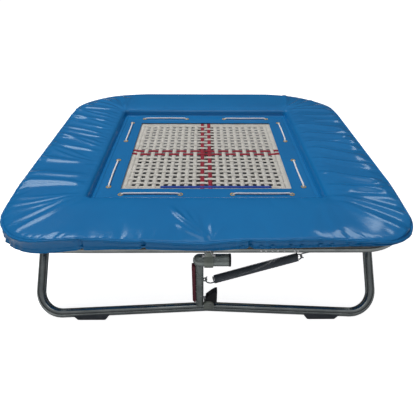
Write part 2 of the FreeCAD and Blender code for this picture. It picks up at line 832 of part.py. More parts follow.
def build_bush(side, turn):
    """A flanged plastic bush that lines the hinge bore of a leg."""
    flange = size("bush_flange")
    inside = leg_half_width - tube_radius - flange
    outward = ALONG_X if side > 0 else Rotation(Vector(0, 1, 0), -90)
    barrel_length = tube_radius * 2 + flange * 2
    barrel = cylinder("BushBarrel", size("bush_radius"), barrel_length,
                      hinge_place(side, inside, outward))
    inner = cylinder("BushInner", size("bush_flange_radius"), flange,
                     hinge_place(side, inside, outward))
    outer = cylinder("BushOuter", size("bush_flange_radius"), flange,
                     hinge_place(side, inside + flange + tube_radius * 2, outward))
    bore = cylinder("BushBore", size("bolt_radius") + size("run_gap"), barrel_length,
                    hinge_place(side, inside, outward))
    bush = cut("LegBush", join("BushBody", [barrel, inner, outer]), [bore])
    bush.Placement = turn
    return bush


def rail_cutter(side, placement=None):
    """The room one half of the front foot rail takes up, past the rail's middle."""
    corner = Vector(side * plain(leg_half_width), -plain(rail_reach),
                    plain(size("rail_height")))
    heading = Rotation(Vector(0, 0, 1), rail_middle - corner)
    cutter = document.addObject("Part::Cylinder", "RailCutter")
    cutter.setExpression("Radius", tube_radius.text)
    cutter.Height = corner.distanceToPoint(rail_middle) + plain(tube_radius)
    cutter.Placement = (placement or Placement()).multiply(Placement(corner, heading))
    return cutter


def build_feet(end):
    """Rubber saddles under the foot rail, flat on the floor."""
    feet = []
    half_top = size("foot_length") * 0.5
    half_base = size("foot_base") * 0.5
    width = plain(leg_half_width)
    kink = plain(size("rail_kink"))
    up_leg = Vector(0, leg_run, leg_fall) * (1 / leg_length)
    corner = Vector(0, -plain(rail_reach), plain(size("rail_height")))
    for side in (-1, 1):
        place = plain(size("foot_place"))
        axis_point = corner + up_leg * (kink * (width - place) / width)
        body = new_body("Foot")
        outline = new_sketch(body, "XZ_Plane")
        draw_outline(outline, [(-half_base, ZERO), (half_base, ZERO),
                               (half_top, size("foot_rise")), (-half_top, size("foot_rise"))])
        add_pad(body, outline, size("foot_width"))
        body.Placement = at(side * place, axis_point.y + plain(size("foot_width")) / 2, 0)
        foot = cut("FootCut", body, [rail_cutter(side)])
        foot.Placement = turned(TURNS[end])
        feet.append(foot)
    keep(f"{end}_feet", group(f"{end}_feet", feet))


# ---- strut

def build_strut(end):
    place = turned(TURNS[end], STRUT)
    cross = size("cross_radius")
    bore = cross - size("cross_wall")
    span = size("cross_left") + size("cross_right")
    left = at(-size("cross_left"), 0, 0, ALONG_X)
    outer = cylinder("CrossOuter", cross, span, left)
    dome = document.addObject("Part::Sphere", "CrossDome")
    dome.setExpression("Radius", cross.text)
    dome.Placement = at(-size("cross_left"))
    hollow = cylinder("CrossHollow", bore, span, left)
    inner_dome = document.addObject("Part::Sphere", "CrossInnerDome")
    inner_dome.setExpression("Radius", bore.text)
    inner_dome.Placement = at(-size("cross_left"))
    outside = join("CrossOutside", [outer, dome])
    keep(f"{end}_strut_cross_tube", cut(f"{end}_cross", outside, [hollow, inner_dome]), place)

    cap_disc = cylinder("CapDisc", cross + size("cap_rim"), size("cap_thickness"),
                        at(size("cross_right"), 0, 0, ALONG_X))
    cap_stem = cylinder("CapStem", bore - size("slip_gap"), size("cap_thickness") * 2,
                        at(size("cross_right") - size("cap_thickness") * 2, 0, 0, ALONG_X))
    keep(f"{end}_strut_end_cap", join(f"{end}_cap", [cap_disc, cap_stem]), place)

    foot_level = Size(tube_radius.number + plain(size("rest_gap")) - strut_length, "0")
    post_tube = ring_tube("PostTube", size("post_radius"), size("post_wall"),
                          Size(-foot_level.number, str(-foot_level.number)))
    post_tube.Placement = at(-size("post_place"), 0, foot_level, Rotation(Vector(0, 1, 0), -90))
    eye_x = size("post_radius") - size("post_place") + size("eye_radius") - size("eye_wire") * 0.25
    eye = torus("PostEye", size("eye_radius"), size("eye_wire"), at(eye_x, 0, -size("eye_place")))
    post_bore = cylinder("PostBore", size("post_radius") - size("post_wall"),
                         Size(strut_length, str(strut_length)), at(-size("post_place"), 0, foot_level))
    eye_cut = cut("PostEyeCut", eye, [post_bore])
    post = cut(f"{end}_post", join("PostWithEye", [post_tube, eye_cut]), [outside])
    keep(f"{end}_strut_post", post, place)

    bar_body = new_body("SideBar")
    outline = new_sketch(bar_body, "XZ_Plane")
    width = size("bar_width")
    top = -size("bar_top")
    bottom = top - size("bar_length")
    draw_outline(outline, [(-width, top), (ZERO, top), (ZERO, bottom),
                           (-width * 0.6, bottom), (-width, bottom + width)])
    add_pad(bar_body, outline, size("bar_depth"))
    bar_place = at(-size("post_place") - size("post_radius"), size("bar_depth") * 0.5, 0)
    keep(f"{end}_strut_side_bar", bar_body, place.multiply(bar_place))

    catch_level = plain(size("catch_height")) - strut_length
    pin = cylinder("CatchPin", size("pin_radius"), size("catch_length") + size("post_wall"),
                   at(size("post_radius") - size("post_place") - size("post_wall"), 0,
                      catch_level, ALONG_X))
    wall = cylinder("CatchWall", size("post_radius"), size("catch_height"),
                    at(-size("post_place"), 0, catch_level - plain(size("catch_height")) / 2))
    keep(f"{end}_strut_catch_pin", cut(f"{end}_catch", pin, [wall]), place)


def build_collar(end):
    """A strap welded under the frame tube that the strut's cross tube turns in."""
    length = size("collar_length")
    start = size("collar_place") - length * 0.5
    ring = cylinder("CollarRing", size("collar_radius"), length, at(start, 0, 0, ALONG_X))
    neck = block("CollarNeck", length, size("collar_neck"), size("pivot_drop") - 1,
                 at(size("collar_place")))
    bore = cylinder("CollarBore", size("cross_radius") + size("run_gap"), length,
                    at(start, 0, 0, ALONG_X))
    tube = cylinder("CollarTube", tube_radius, length, at(start, 0, size("pivot_drop"), ALONG_X))
    collar = cut(f"{end}_collar", join("CollarBody", [ring, neck]), [bore, tube])
    keep(f"{end}_strut_collar", collar, turned(TURNS[end], Placement(pivot, Rotation())))


# ---- latch

def build_latch(end):
    place = turned(TURNS[end], LATCH)
    middle = size("latch_place")
    half = size("housing_half_width")
    pin_x = size("latch_pin_place")
    pin_z = size("latch_pin_height")
    depth = size("housing_depth")
    box = block("HousingBox", half * 2, depth, size("housing_height"), at(middle))
    back = cylinder("HousingTop", half, depth,
                    at(middle, -depth.number / 2, size("housing_height"), ALONG_Y))
    slot_floor = pin_z - size("lever_boss") - size("rest_gap")
    slot = block("HousingSlot", half * 4, size("housing_slot"), size("housing_height") * 2,
                 at(middle, 0, slot_floor))
    rails = [rail_cutter(side, LATCH.inverse()) for side in (-1, 1)]
    hole = cylinder("HousingHole", size("pin_radius"), depth * 2,
                    at(pin_x, -depth.number, pin_z, ALONG_Y))
    housing = cut(f"{end}_housing", join("HousingBody", [box, back]), [slot, hole] + rails)
    keep(f"{end}_latch_housing", housing, place)

    pin_length = depth + size("bush_flange") * 2
    pin = cylinder(f"{end}_latch_pin", size("pin_radius"), pin_length)
    keep(f"{end}_latch_pin", pin,
         place.multiply(at(pin_x, -pin_length.number / 2, pin_z, ALONG_Y)))

    lever_width = size("housing_slot") - size("rest_gap") * 2
    body = new_body("LeverPlate")
    outline = new_sketch(body, "XZ_Plane")
    right = size("lever_right")
    top = size("lever_top")
    draw_outline(outline, [
        (-size("lever_nose"), size("nose_bottom")), (pin_x - size("lever_boss"), pin_z),
        (pin_x + size("lever_boss"), pin_z), (right, pin_z + size("lever_boss")),
        (right, top), (right - size("lever_tip"), top),
        (size("lever_shoulder"), size("lever_shoulder_height")),
        (-size("lever_nose"), size("nose_top"))])
    add_pad(body, outline, lever_width)
    body.Placement = at(0, lever_width * 0.5)
    boss = cylinder("LeverBoss", size("lever_boss"), lever_width,
                    at(pin_x, -lever_width.number / 2, pin_z, ALONG_Y))
    bore = cylinder("LeverBore", size("pin_radius") + size("run_gap"), lever_width,
                    at(pin_x, -lever_width.number / 2, pin_z, ALONG_Y))
    reach = size("catch_length") + size("post_radius") - size("post_place")
    mouth = size("lever_nose") + reach + size("rest_gap") * 2
    groove = block("NoseGroove", mouth * 2, (size("pin_radius") + size("rest_gap")) * 2,
                   size("lever_top"), at(-size("lever_nose"), 0, size("nose_bottom") - 5))
    lever = cut(f"{end}_lever", join("LeverBody", [body, boss]), [bore, groove])
    keep(f"{end}_latch_lever", lever, place)


# ---- tension spring, its link and its anchor

def tension_frame():
    """Start, heading and upward normal of the tension spring's axis at rest."""
    eye_x = plain(size("post_radius") - size("post_place") + size("eye_radius")
                  - size("eye_wire") * 0.25)
    eye = STRUT.multVec(Vector(eye_x, 0, -plain(size("eye_place"))))
    wires = (plain(size("eye_wire")) + plain(size("tension_wire"))) / 2
    hook_x = eye.x + plain(size("eye_radius")) - wires - plain(size("rest_gap"))
    hook_centre = Vector(hook_x + plain(size("tension_hook")), eye.y, eye.z)
    lean = math.radians(plain(size("tension_lean")))
    heading = Vector(math.cos(lean), 0, math.sin(lean))
    normal = Vector(-math.sin(lean), 0, math.cos(lean))
    return hook_centre, heading, normal


def tension_wall_line():
    """Radius of the coil's wire centre. The sleeve is a little thicker than the wire."""
    return plain(size("tension_radius")) - plain(size("tension_wire")) / 2 - 0.3


def build_tension_spring(end):
    turn = TURNS[end]
    hook_centre, heading, normal = tension_frame()
    wire = plain(size("tension_wire")) / 2
    outer = plain(size("tension_radius"))
    wall_line = tension_wall_line()
    hook = plain(size("tension_hook"))
    length = plain(size("tension_length"))
    start = hook_centre + heading * (hook * 0.72) + normal * (wall_line - hook)
    start = start + normal * (hook * 0.02)
    coil = Part.makeCylinder(outer, length, start, heading)
    bore = Part.makeCylinder(2 * wall_line - outer, length, start, heading)
    wall_start = start - normal * wall_line
    bow = arc_edge(hook_centre, heading, normal, hook, 110, 270)
    bow_end = hook_centre - normal * hook
    tail = Part.LineSegment(bow_end, wall_start + heading * (4 * wire)).toShape()
    near_hook = wire_along([bow, tail], wire)
    finish = start + heading * length
    sideways = Vector(0, 1, 0)
    far_hook = wire_along([
        Part.LineSegment(finish - heading * (4 * wire) + sideways * wall_line,
                         finish + sideways * wall_line).toShape(),
        arc_edge(finish, sideways, heading, wall_line, 0, 180),
        Part.LineSegment(finish - sideways * wall_line,
                         finish - heading * (4 * wire) - sideways * wall_line).toShape(),
    ], wire)
    spring = coil.cut(bore).fuse([near_hook, far_hook]).removeSplitter()
    keep(f"{end}_tension_spring", solid_piece(f"{end}_tension", spring), turned(turn))
    return finish, heading


def build_link_and_anchor():
    hook_centre, heading, normal = tension_frame()
    wire = plain(size("tension_wire")) / 2
    link_wire = plain(size("link_wire")) / 2
    radius = plain(size("link_radius"))
    gap = plain(size("rest_gap"))
    hook = plain(size("tension_hook"))
    wall_line = tension_wall_line()
    start = hook_centre + heading * (hook * 0.72) + normal * (wall_line - hook * 0.98)
    finish = start + heading * plain(size("tension_length"))
    first = finish + heading * (wall_line - wire - link_wire - gap + radius)
    anchor_radius = plain(size("anchor_radius"))
    anchor_wire = plain(size("anchor_wire")) / 2
    beside = finish.y + plain(frame_half)
    below = math.sqrt((plain(tube_radius) + anchor_radius) ** 2 - beside ** 2)
    anchor_z = plain(frame_height) - below
    reach = radius - anchor_wire - link_wire - gap
    second = Vector(plain(size("anchor_place")) - reach, finish.y, anchor_z - anchor_radius)
    span = second - first
    distance = span.Length
    along = span * (1 / distance)
    across = Vector(-along.z, 0, along.x)
    tilt = math.degrees(math.asin(2 * radius / distance))
    bow_one = arc_edge(first, along, across, radius, 90 - tilt, 250)
    bow_two = arc_edge(second, along, across, radius, -90 - tilt, 75)
    joint = Part.LineSegment(bow_one.valueAt(bow_one.FirstParameter),
                             bow_two.valueAt(bow_two.FirstParameter)).toShape()
    edges = Part.__sortEdges__([bow_one, joint, bow_two])
    link = wire_along(edges, link_wire)
    anchors = []
    links = []
    ring = Part.makeTorus(anchor_radius, anchor_wire,
                          Vector(plain(size("anchor_place")), finish.y, anchor_z), Vector(1, 0, 0))
    tube = Part.makeCylinder(plain(tube_radius), 4 * anchor_radius,
                             Vector(plain(size("anchor_place")) - 2 * anchor_radius,
                                    -plain(frame_half), plain(frame_height)), Vector(1, 0, 0))
    ring = ring.cut(tube)
    for end in ENDS:
        for shape, shapes in ((link, links), (ring, anchors)):
            copy = shape.copy()
            copy.Placement = turned(TURNS[end]).multiply(shape.Placement)
            shapes.append(copy)
    keep("tension_links", solid_piece("TensionLinks", Part.makeCompound(links)))
    keep("tension_anchors", solid_piece("TensionAnchors", Part.makeCompound(anchors)))


# ---- build, check and write

def build_all():
    build_frame()
    build_staples()
    build_springs()
    build_bed()
    build_foam()
    build_cover()
    build_flaps()
    build_eyelets()
    build_tie_cords()
    build_frame_ties()
    build_hinges()
    for end in ENDS:
        build_leg(end)
        build_strut(end)
        build_collar(end)
        build_latch(end)
        build_tension_spring(end)
    build_link_and_anchor()
    document.recompute()


def check_and_write():
    for item in document.Objects:
        if "Invalid" in item.State or "Error" in item.State:
            raise RuntimeError(f"{item.Label} failed: {item.State}")
    os.makedirs("parts", exist_ok=True)
    for label, piece in nodes.items():
        shape = piece.Shape
        if shape.isNull() or not shape.isValid() or not shape.Solids:
            raise RuntimeError(f"{label} has no valid solid")
        shape.exportStep(f"parts/{label}.step")
        box = shape.BoundBox
        print(f"{label}: {len(shape.Solids)} solids, {shape.Volume:.0f} mm3, "
              f"x {box.XMin:.1f} {box.XMax:.1f}, y {box.YMin:.1f} {box.YMax:.1f}, "
              f"z {box.ZMin:.1f} {box.ZMax:.1f}")
    print(len(nodes), "nodes")
    print(f"leg lean {leg_lean:.2f}, leg length {leg_length:.2f}, strut lean {strut_lean:.2f}, "
          f"strut length {strut_length:.2f}")
    print("rail middle", rail_middle, "pivot", pivot)


build_all()
check_and_write()
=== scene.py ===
import math

import bmesh
import bpy
import numpy as np
from mathutils import Matrix, Vector


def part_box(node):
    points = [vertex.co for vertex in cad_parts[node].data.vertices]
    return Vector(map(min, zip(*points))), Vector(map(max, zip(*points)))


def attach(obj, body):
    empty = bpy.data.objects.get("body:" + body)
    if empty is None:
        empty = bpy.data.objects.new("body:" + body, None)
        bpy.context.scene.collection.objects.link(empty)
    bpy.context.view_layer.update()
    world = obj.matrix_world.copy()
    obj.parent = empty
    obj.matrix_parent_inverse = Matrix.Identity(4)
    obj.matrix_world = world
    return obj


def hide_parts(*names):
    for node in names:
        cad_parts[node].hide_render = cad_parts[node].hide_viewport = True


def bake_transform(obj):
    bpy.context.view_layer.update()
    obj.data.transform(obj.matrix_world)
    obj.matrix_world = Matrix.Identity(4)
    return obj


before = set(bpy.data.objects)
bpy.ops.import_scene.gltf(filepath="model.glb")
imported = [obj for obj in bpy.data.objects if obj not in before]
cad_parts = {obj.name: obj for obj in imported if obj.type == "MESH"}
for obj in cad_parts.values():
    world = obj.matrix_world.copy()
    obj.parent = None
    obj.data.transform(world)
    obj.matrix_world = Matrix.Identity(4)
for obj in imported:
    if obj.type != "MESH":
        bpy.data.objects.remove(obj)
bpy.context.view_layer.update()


rng = np.random.default_rng(7)
ends = {"front": 0.0, "rear": math.pi}  # the rear end is the front one turned round


view = {
    "place": (-0.0099, -1.4684, 1.051),
    "pitch": 33.92,  # degrees down
    "yaw": 0.77,  # degrees to the right
    "roll": 0.39,
    "lens": 34.8,
    "sensor": 36,
    "farthest": 60,
}


def linkObject(name, data):
    made = bpy.data.objects.new(name, data)
    bpy.context.scene.collection.objects.link(made)
    return made


def buildCamera():
    pitch, yaw, roll = (math.radians(view[key]) for key in ("pitch", "yaw", "roll"))
    level = math.cos(pitch)
    ahead = Vector((math.sin(yaw) * level, math.cos(yaw) * level, -math.sin(pitch)))
    right = Vector((math.cos(yaw), -math.sin(yaw), 0))
    up = right.cross(ahead)
    turnedRight = right * math.cos(roll) + up * math.sin(roll)
    turnedUp = up * math.cos(roll) - right * math.sin(roll)
    data = bpy.data.cameras.new("camera")
    data.lens = view["lens"]
    data.sensor_width = view["sensor"]
    data.clip_end = view["farthest"]
    camera = linkObject("camera", data)
    axes = Matrix((turnedRight, turnedUp, -ahead)).transposed()
    camera.matrix_world = Matrix.Translation(view["place"]) @ axes.to_4x4()
    bpy.context.scene.camera = camera


studio = {
    "floorSize": 40.0,
    "floorRoughness": 0.9,
    "floorGreyAndPaintedShadow": (0.20, 0.62),  # in the painted shadow's middle, and outside it
    # the floor's glow that the camera sees, none in the painted shadow's middle
    "floorGlow": (0.0, 0.92),
    "paintedShadowMiddle": (0.0, 0.66, 0.0),
    "paintedShadowReach": (0.48, 0.90),  # where the painted shadow starts to fade and where it ends
    "skyColor": (0.93, 0.96, 1.0, 1),
    "skyStrength": 0.15,
    "reflectedRise": (0.3, 1.0),  # how high a reflection looks: low down and overhead
    "reflectedSky": (0.05, 0.35),  # and the sky's strength there
    "lamps": [
        # name, place, aimed at, width, height, watts, seen in reflections
        ("keySoftbox", (-3.1, 2.9, 6.2), (0, 0, 0.3), 2.6, 2.4, 64, True),
        ("sideSoftbox", (3.2, 2.9, 5.8), (0, 0, 0.3), 1.6, 1.6, 26, True),
        ("frontFill", (0.4, -3.6, 1.5), (0, 0, 0.2), 3.0, 1.6, 24, False),
        ("rearShade", (-2.0, 1.7, 4.9), (0, 0, 0.3), 1.6, 1.2, 150, False),
        ("topFill", (0.3, -0.7, 3.4), (0, 0, 0.3), 2.2, 1.4, 9, True),
    ],
}


def mapRange(nodes, links, value, source, target, kind="LINEAR"):
    node = nodes.new("ShaderNodeMapRange")
    node.interpolation_type = kind
    for socket, number in zip(node.inputs[1:5], (*source, *target)):
        socket.default_value = number
    links.new(value, node.inputs["Value"])
    return node.outputs["Result"]


# White to the camera, with a painted shadow under and behind the bed: a soft grey patch, darker in colour and
# without glow.
def buildFloor():
    bm = bmesh.new()
    bmesh.ops.create_grid(bm, x_segments=1, y_segments=1, size=studio["floorSize"] / 2)
    mesh = bpy.data.meshes.new("floor")
    bm.to_mesh(mesh)
    bm.free()
    linkObject("floor", mesh)
    paint = bpy.data.materials.new("floorPaint")
    paint.use_nodes = True
    nodes = paint.node_tree.nodes
    links = paint.node_tree.links
    shader = nodes["Principled BSDF"]
    shader.inputs["Roughness"].default_value = studio["floorRoughness"]
    shader.inputs["Specular IOR Level"].default_value = 0.0
    shader.inputs["Emission Color"].default_value = (1, 1, 1, 1)
    place = nodes.new("ShaderNodeTexCoord")
    away = nodes.new("ShaderNodeVectorMath")
    away.operation = "DISTANCE"
    away.inputs[1].default_value = studio["paintedShadowMiddle"]
    links.new(place.outputs["Object"], away.inputs[0])
    # Painted shadow: the floor's colour and glow both fall off towards the patch's middle.
    grey, glow = (
        mapRange(nodes, links, away.outputs["Value"], studio["paintedShadowReach"], studio[level], "SMOOTHSTEP")
        for level in ("floorGreyAndPaintedShadow", "floorGlow"))
    ray = nodes.new("ShaderNodeLightPath")
    seen = nodes.new("ShaderNodeMath")
    seen.operation = "MULTIPLY"
    links.new(glow, seen.inputs[0])
    links.new(ray.outputs["Is Camera Ray"], seen.inputs[1])
    links.new(grey, shader.inputs["Base Color"])
    links.new(seen.outputs[0], shader.inputs["Emission Strength"])
    mesh.materials.append(paint)


# The camera sees it white, while it lights the object softly and is dim in reflections.
def buildSky():
    world = bpy.data.worlds.new("studioSky")
    world.use_nodes = True
    nodes = world.node_tree.nodes
    links = world.node_tree.links
    soft = nodes["Background"]
    soft.inputs["Color"].default_value = studio["skyColor"]
    soft.inputs["Strength"].default_value = studio["skyStrength"]
    white = nodes.new("ShaderNodeBackground")
    white.inputs["Color"].default_value = (1, 1, 1, 1)
    white.inputs["Strength"].default_value = 1.0
    dim = nodes.new("ShaderNodeBackground")
    dim.inputs["Color"].default_value = studio["skyColor"]
    heading = nodes.new("ShaderNodeTexCoord")
    parts = nodes.new("ShaderNodeSeparateXYZ")
    links.new(heading.outputs["Generated"], parts.inputs[0])
    rise = mapRange(nodes, links, parts.outputs["Z"], studio["reflectedRise"], studio["reflectedSky"])
    links.new(rise, dim.inputs["Strength"])
    ray = nodes.new("ShaderNodeLightPath")
    shown = soft.outputs[0]
    for rayKind, other in (("Is Glossy Ray", dim), ("Is Camera Ray", white)):
        choose = nodes.new("ShaderNodeMixShader")
        links.new(ray.outputs[rayKind], choose.inputs[0])
        links.new(shown, choose.inputs[1])
        links.new(other.outputs[0], choose.inputs[2])
        shown = choose.outputs[0]
    links.new(shown, nodes["World Output"].inputs["Surface"])
    bpy.context.scene.world = world


def buildLamps():
    for name, place, target, width, height, watts, reflected in studio["lamps"]:
        data = bpy.data.lights.new(name, "AREA")
        data.shape = "RECTANGLE"
        data.size = width
        data.size_y = height
        data.energy = watts
        lamp = linkObject(name, data)
        lamp.visible_glossy = reflected
        aim = (Vector(target) - Vector(place)).to_track_quat("-Z", "Y")
        lamp.matrix_world = Matrix.Translation(place) @ aim.to_matrix().to_4x4()


buildCamera()
buildFloor()
buildSky()
buildLamps()
bpy.context.scene.view_settings.view_transform = "Standard"
print("camera and studio ready")


def isSocket(value):
    return hasattr(value, "is_output")


# A node material while it is being put together.
class Finish:
    def __init__(self, name):
        self.material = bpy.data.materials.new(name)
        self.material.use_nodes = True
        self.nodes = self.material.node_tree.nodes
        self.links = self.material.node_tree.links
        self.shader = self.nodes["Principled BSDF"]
        self.place = self.nodes.new("ShaderNodeTexCoord").outputs["Object"]

    def fill(self, socket, value):
        if isSocket(value):
            self.links.new(value, socket)
        else:
            socket.default_value = value

    def noise(self, scale, detail):
        node = self.nodes.new("ShaderNodeTexNoise")
        for key, value in (("Scale", scale), ("Detail", detail), ("Roughness", 0.55), ("Vector", self.place)):
            self.fill(node.inputs[key], value)
        return node.outputs[0]

    def wave(self, direction, scale, distortion=0.0):
        node = self.nodes.new("ShaderNodeTexWave")
        node.bands_direction = direction
        for key, value in (("Scale", scale), ("Distortion", distortion), ("Vector", self.place)):
            self.fill(node.inputs[key], value)
        return node.outputs["Fac"]

    def multiply(self, first, second):
        node = self.nodes.new("ShaderNodeMath")
        node.operation = "MULTIPLY"
        self.fill(node.inputs[0], first)
        self.fill(node.inputs[1], second)
        return node.outputs[0]

    def spread(self, factor, low, high):
        return mapRange(self.nodes, self.links, factor, (0.0, 1.0), (low, high))

    def ramp(self, factor, *stops):
        node = self.nodes.new("ShaderNodeValToRGB")
        self.links.new(factor, node.inputs[0])
        elements = node.color_ramp.elements
        for element, (position, color) in zip(elements, stops):
            element.position = position
            element.color = (*color, 1)
        return node.outputs["Color"]

    def shade(self, color, shade):
        node = self.nodes.new("ShaderNodeMix")
        node.data_type = "RGBA"
        node.blend_type = "MULTIPLY"
        node.inputs[0].default_value = 1.0
        self.links.new(color, node.inputs[6])
        self.links.new(shade, node.inputs[7])
        return node.outputs[2]

    def bump(self, height, strength, distance):
        node = self.nodes.new("ShaderNodeBump")
        for key, value in (("Strength", strength), ("Distance", distance), ("Height", height)):
            self.fill(node.inputs[key], value)
        return node.outputs[0]

    def use(self, **inputs):
        for key, value in inputs.items():
            self.fill(self.shader.inputs[key.replace("_", " ")], value)
        return self.material


vinylLook = {
    "blue": (0.004, 0.176, 0.455),
    "deepBlue": (0.004, 0.158, 0.420),
    "roughness": (0.16, 0.215),
    "coat": 0.3,
    "coatRoughness": 0.11,
    "shine": (0.74, 0.95, 1.0, 1),
    "softness": (0.10, 0.002),  # strength and depth of the film's slow waves
}


def makeVinyl():
    finish = Finish("blueVinyl")
    blue = finish.ramp(finish.noise(5.0, 4), (0.35, vinylLook["deepBlue"]), (0.7, vinylLook["blue"]))
    rough = finish.spread(finish.noise(14.0, 5), *vinylLook["roughness"])
    return finish.use(
        Base_Color=blue, Roughness=rough, Normal=finish.bump(finish.noise(30.0, 2), *vinylLook["softness"]),
        Coat_Weight=vinylLook["coat"], Coat_Roughness=vinylLook["coatRoughness"],
        Specular_Tint=vinylLook["shine"])


# Metals, plastics and paints: name, low and high color, low and high roughness, metallic.
metals = {
    "tube": ("zincTube", (0.33, 0.36, 0.36), (0.48, 0.51, 0.50), (0.11, 0.22), 0.95),
    "bracket": ("zincBracket", (0.26, 0.30, 0.29), (0.41, 0.45, 0.43), (0.20, 0.32), 0.6),
    "paleBracket": ("paleBracket", (0.24, 0.27, 0.24), (0.37, 0.40, 0.36), (0.26, 0.40), 0.5),
    "steel": ("platedSteel", (0.42, 0.43, 0.44), (0.62, 0.63, 0.64), (0.2, 0.36), 0.9),
    "darkSpring": ("darkSpringSteel", (0.085, 0.10, 0.115), (0.16, 0.175, 0.20), (0.25, 0.4), 0.45),
}
plastics = {
    "rubber": ("footRubber", (0.040, 0.046, 0.056), (0.066, 0.073, 0.086), (0.55, 0.8)),
    "black": ("blackPlastic", (0.008, 0.008, 0.009), (0.016, 0.016, 0.018), (0.35, 0.55)),
    "nylon": ("nylon", (0.55, 0.55, 0.52), (0.7, 0.7, 0.66), (0.4, 0.55)),
}
redPaint = {"low": (0.11, 0.014, 0.026), "high": (0.16, 0.024, 0.04), "roughness": (0.32, 0.5)}
brassLook = {"low": (0.52, 0.33, 0.08), "high": (0.80, 0.56, 0.18), "roughness": (0.22, 0.42)}


def makeZinc(name, low, high, roughness, metallic):
    finish = Finish(name)
    color = finish.ramp(finish.noise(26.0, 4), (0.3, low), (0.72, high))
    rough = finish.spread(finish.noise(60.0, 4), *roughness)
    drawn = finish.bump(finish.noise(240.0, 2), 0.08, 0.0004)
    return finish.use(Base_Color=color, Roughness=rough, Metallic=metallic, Normal=drawn)


def makePlastic(name, low, high, roughness):
    finish = Finish(name)
    color = finish.ramp(finish.noise(30.0, 5), (0.3, low), (0.7, high))
    rough = finish.spread(finish.noise(80.0, 3), *roughness)
    grain = finish.bump(finish.noise(700.0, 2), 0.2, 0.0005)
    return finish.use(Base_Color=color, Roughness=rough, Normal=grain)


def makeRedPaint():
    finish = Finish("darkRedPaint")
    color = finish.ramp(finish.noise(45.0, 5), (0.3, redPaint["low"]), (0.75, redPaint["high"]))
    rough = finish.spread(finish.noise(90.0, 3), *redPaint["roughness"])
    orangePeel = finish.bump(finish.noise(300.0, 2), 0.08, 0.0004)
    return finish.use(Base_Color=color, Roughness=rough, Normal=orangePeel)


def makeBrass():
    finish = Finish("eyeletBrass")
    color = finish.ramp(finish.noise(300.0, 3), (0.3, brassLook["low"]), (0.7, brassLook["high"]))
    rough = finish.spread(finish.noise(200.0, 3), *brassLook["roughness"])
    return finish.use(Base_Color=color, Roughness=rough, Metallic=0.4)


webbing = {
    "cream": ("creamStrap", (0.66, 0.63, 0.57), (0.80, 0.77, 0.71)),
    "red": ("redStrap", (0.30, 0.010, 0.028), (0.42, 0.016, 0.042)),
    "royal": ("royalBlueTape", (0.012, 0.060, 0.36), (0.018, 0.085, 0.46)),
    "ribs": 520.0,  # fine ribs across the strap's run
    "threads": 330.0,  # and threads along it
}


def makeWebbing(name, low, high, along):
    finish = Finish(name)
    ribs = finish.wave("X" if along == "x" else "Y", webbing["ribs"], 0.6)
    threads = finish.wave("Y" if along == "x" else "X", webbing["threads"])
    woven = finish.multiply(ribs, threads)
    color = finish.ramp(finish.noise(40.0, 5), (0.32, low), (0.7, high))
    # The weave's low places are darkened in the base colour: painted shade between the ribs and threads.
    shade = finish.ramp(woven, (0.0, (0.8, 0.8, 0.8)), (0.5, (1.0, 1.0, 1.0)))
    return finish.use(
        Base_Color=finish.shade(color, shade), Roughness=0.78, Normal=finish.bump(woven, 0.5, 0.0005),
        Sheen_Weight=0.15)


def makeCord():
    finish = Finish("braidedCord")
    braid = finish.wave("DIAGONAL", 190.0, 1.0)
    # The braid's grooves are darker in the base colour: painted shade.
    color = finish.ramp(braid, (0.05, (0.80, 0.77, 0.77)), (0.4, (0.97, 0.95, 0.95)))
    return finish.use(
        Base_Color=color, Roughness=0.75, Normal=finish.bump(braid, 0.6, 0.0008), Sheen_Weight=0.2)


def webbingOf(kind, along):
    name, low, high = webbing[kind]
    return makeWebbing(name + {"x": "Across", "y": "Along"}[along], low, high, along)


finishes = {
    "vinyl": makeVinyl(),
    "red": makeRedPaint(),
    "brass": makeBrass(),
    "cord": makeCord(),
    "creamAcross": webbingOf("cream", "x"),
    "creamAlong": webbingOf("cream", "y"),
    "redAcross": webbingOf("red", "x"),
    "redAlong": webbingOf("red", "y"),
    "royalTape": makeWebbing(*webbing["royal"], "x"),
}
finishes.update({key: makeZinc(*look) for key, look in metals.items()})
finishes.update({key: makePlastic(*look) for key, look in plastics.items()})
print("materials ready")


# A smooth rise from 0 at start to 1 at end.
def between(values, start, end):
    share = np.clip((values - start) / (end - start), 0, 1)
    return share * share * (3 - 2 * share)


def keepPiece(name, bm, materials, body):
    mesh = bpy.data.meshes.new(name)
    bm.to_mesh(mesh)
    bm.free()
    for material in materials:
        mesh.materials.append(finishes[material])
    mesh.shade_smooth()
    piece = linkObject(name, mesh)
    if body:  # a piece that stretches between two bodies is not attached to either
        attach(piece, body)
    return piece


def turnAll(bm, verts, angle, axis):
    bmesh.ops.rotate(bm, verts=verts, cent=(0, 0, 0), matrix=Matrix.Rotation(angle, 3, axis))


def linkedEdges(verts):
    return list({edge for vert in verts for edge in vert.link_edges})


def vertsOf(items):
    return [item for item in items if isinstance(item, bmesh.types.BMVert)]


# A small circle of wire, standing on the x axis at the given distance.
def wireCircle(bm, radius, wire, sides):
    verts = bmesh.ops.create_circle(bm, segments=sides, radius=wire)["verts"]
    turnAll(bm, verts, math.pi / 2, "X")
    bmesh.ops.translate(bm, verts=verts, vec=(radius, 0, 0))
    return verts


# A closed ring of round wire, standing in the x-z plane.
def addRing(bm, radius, wire, centre, steps, sides):
    before = set(bm.verts)
    verts = wireCircle(bm, radius, wire, sides)
    bmesh.ops.spin(
        bm, geom=verts + linkedEdges(verts), cent=(0, 0, 0), axis=(0, 0, 1), dvec=(0, 0, 0),
        angle=math.tau, steps=steps, use_merge=True)
    made = [vert for vert in bm.verts if vert not in before]
    turnAll(bm, made, math.pi / 2, "X")
    bmesh.ops.translate(bm, verts=made, vec=centre)


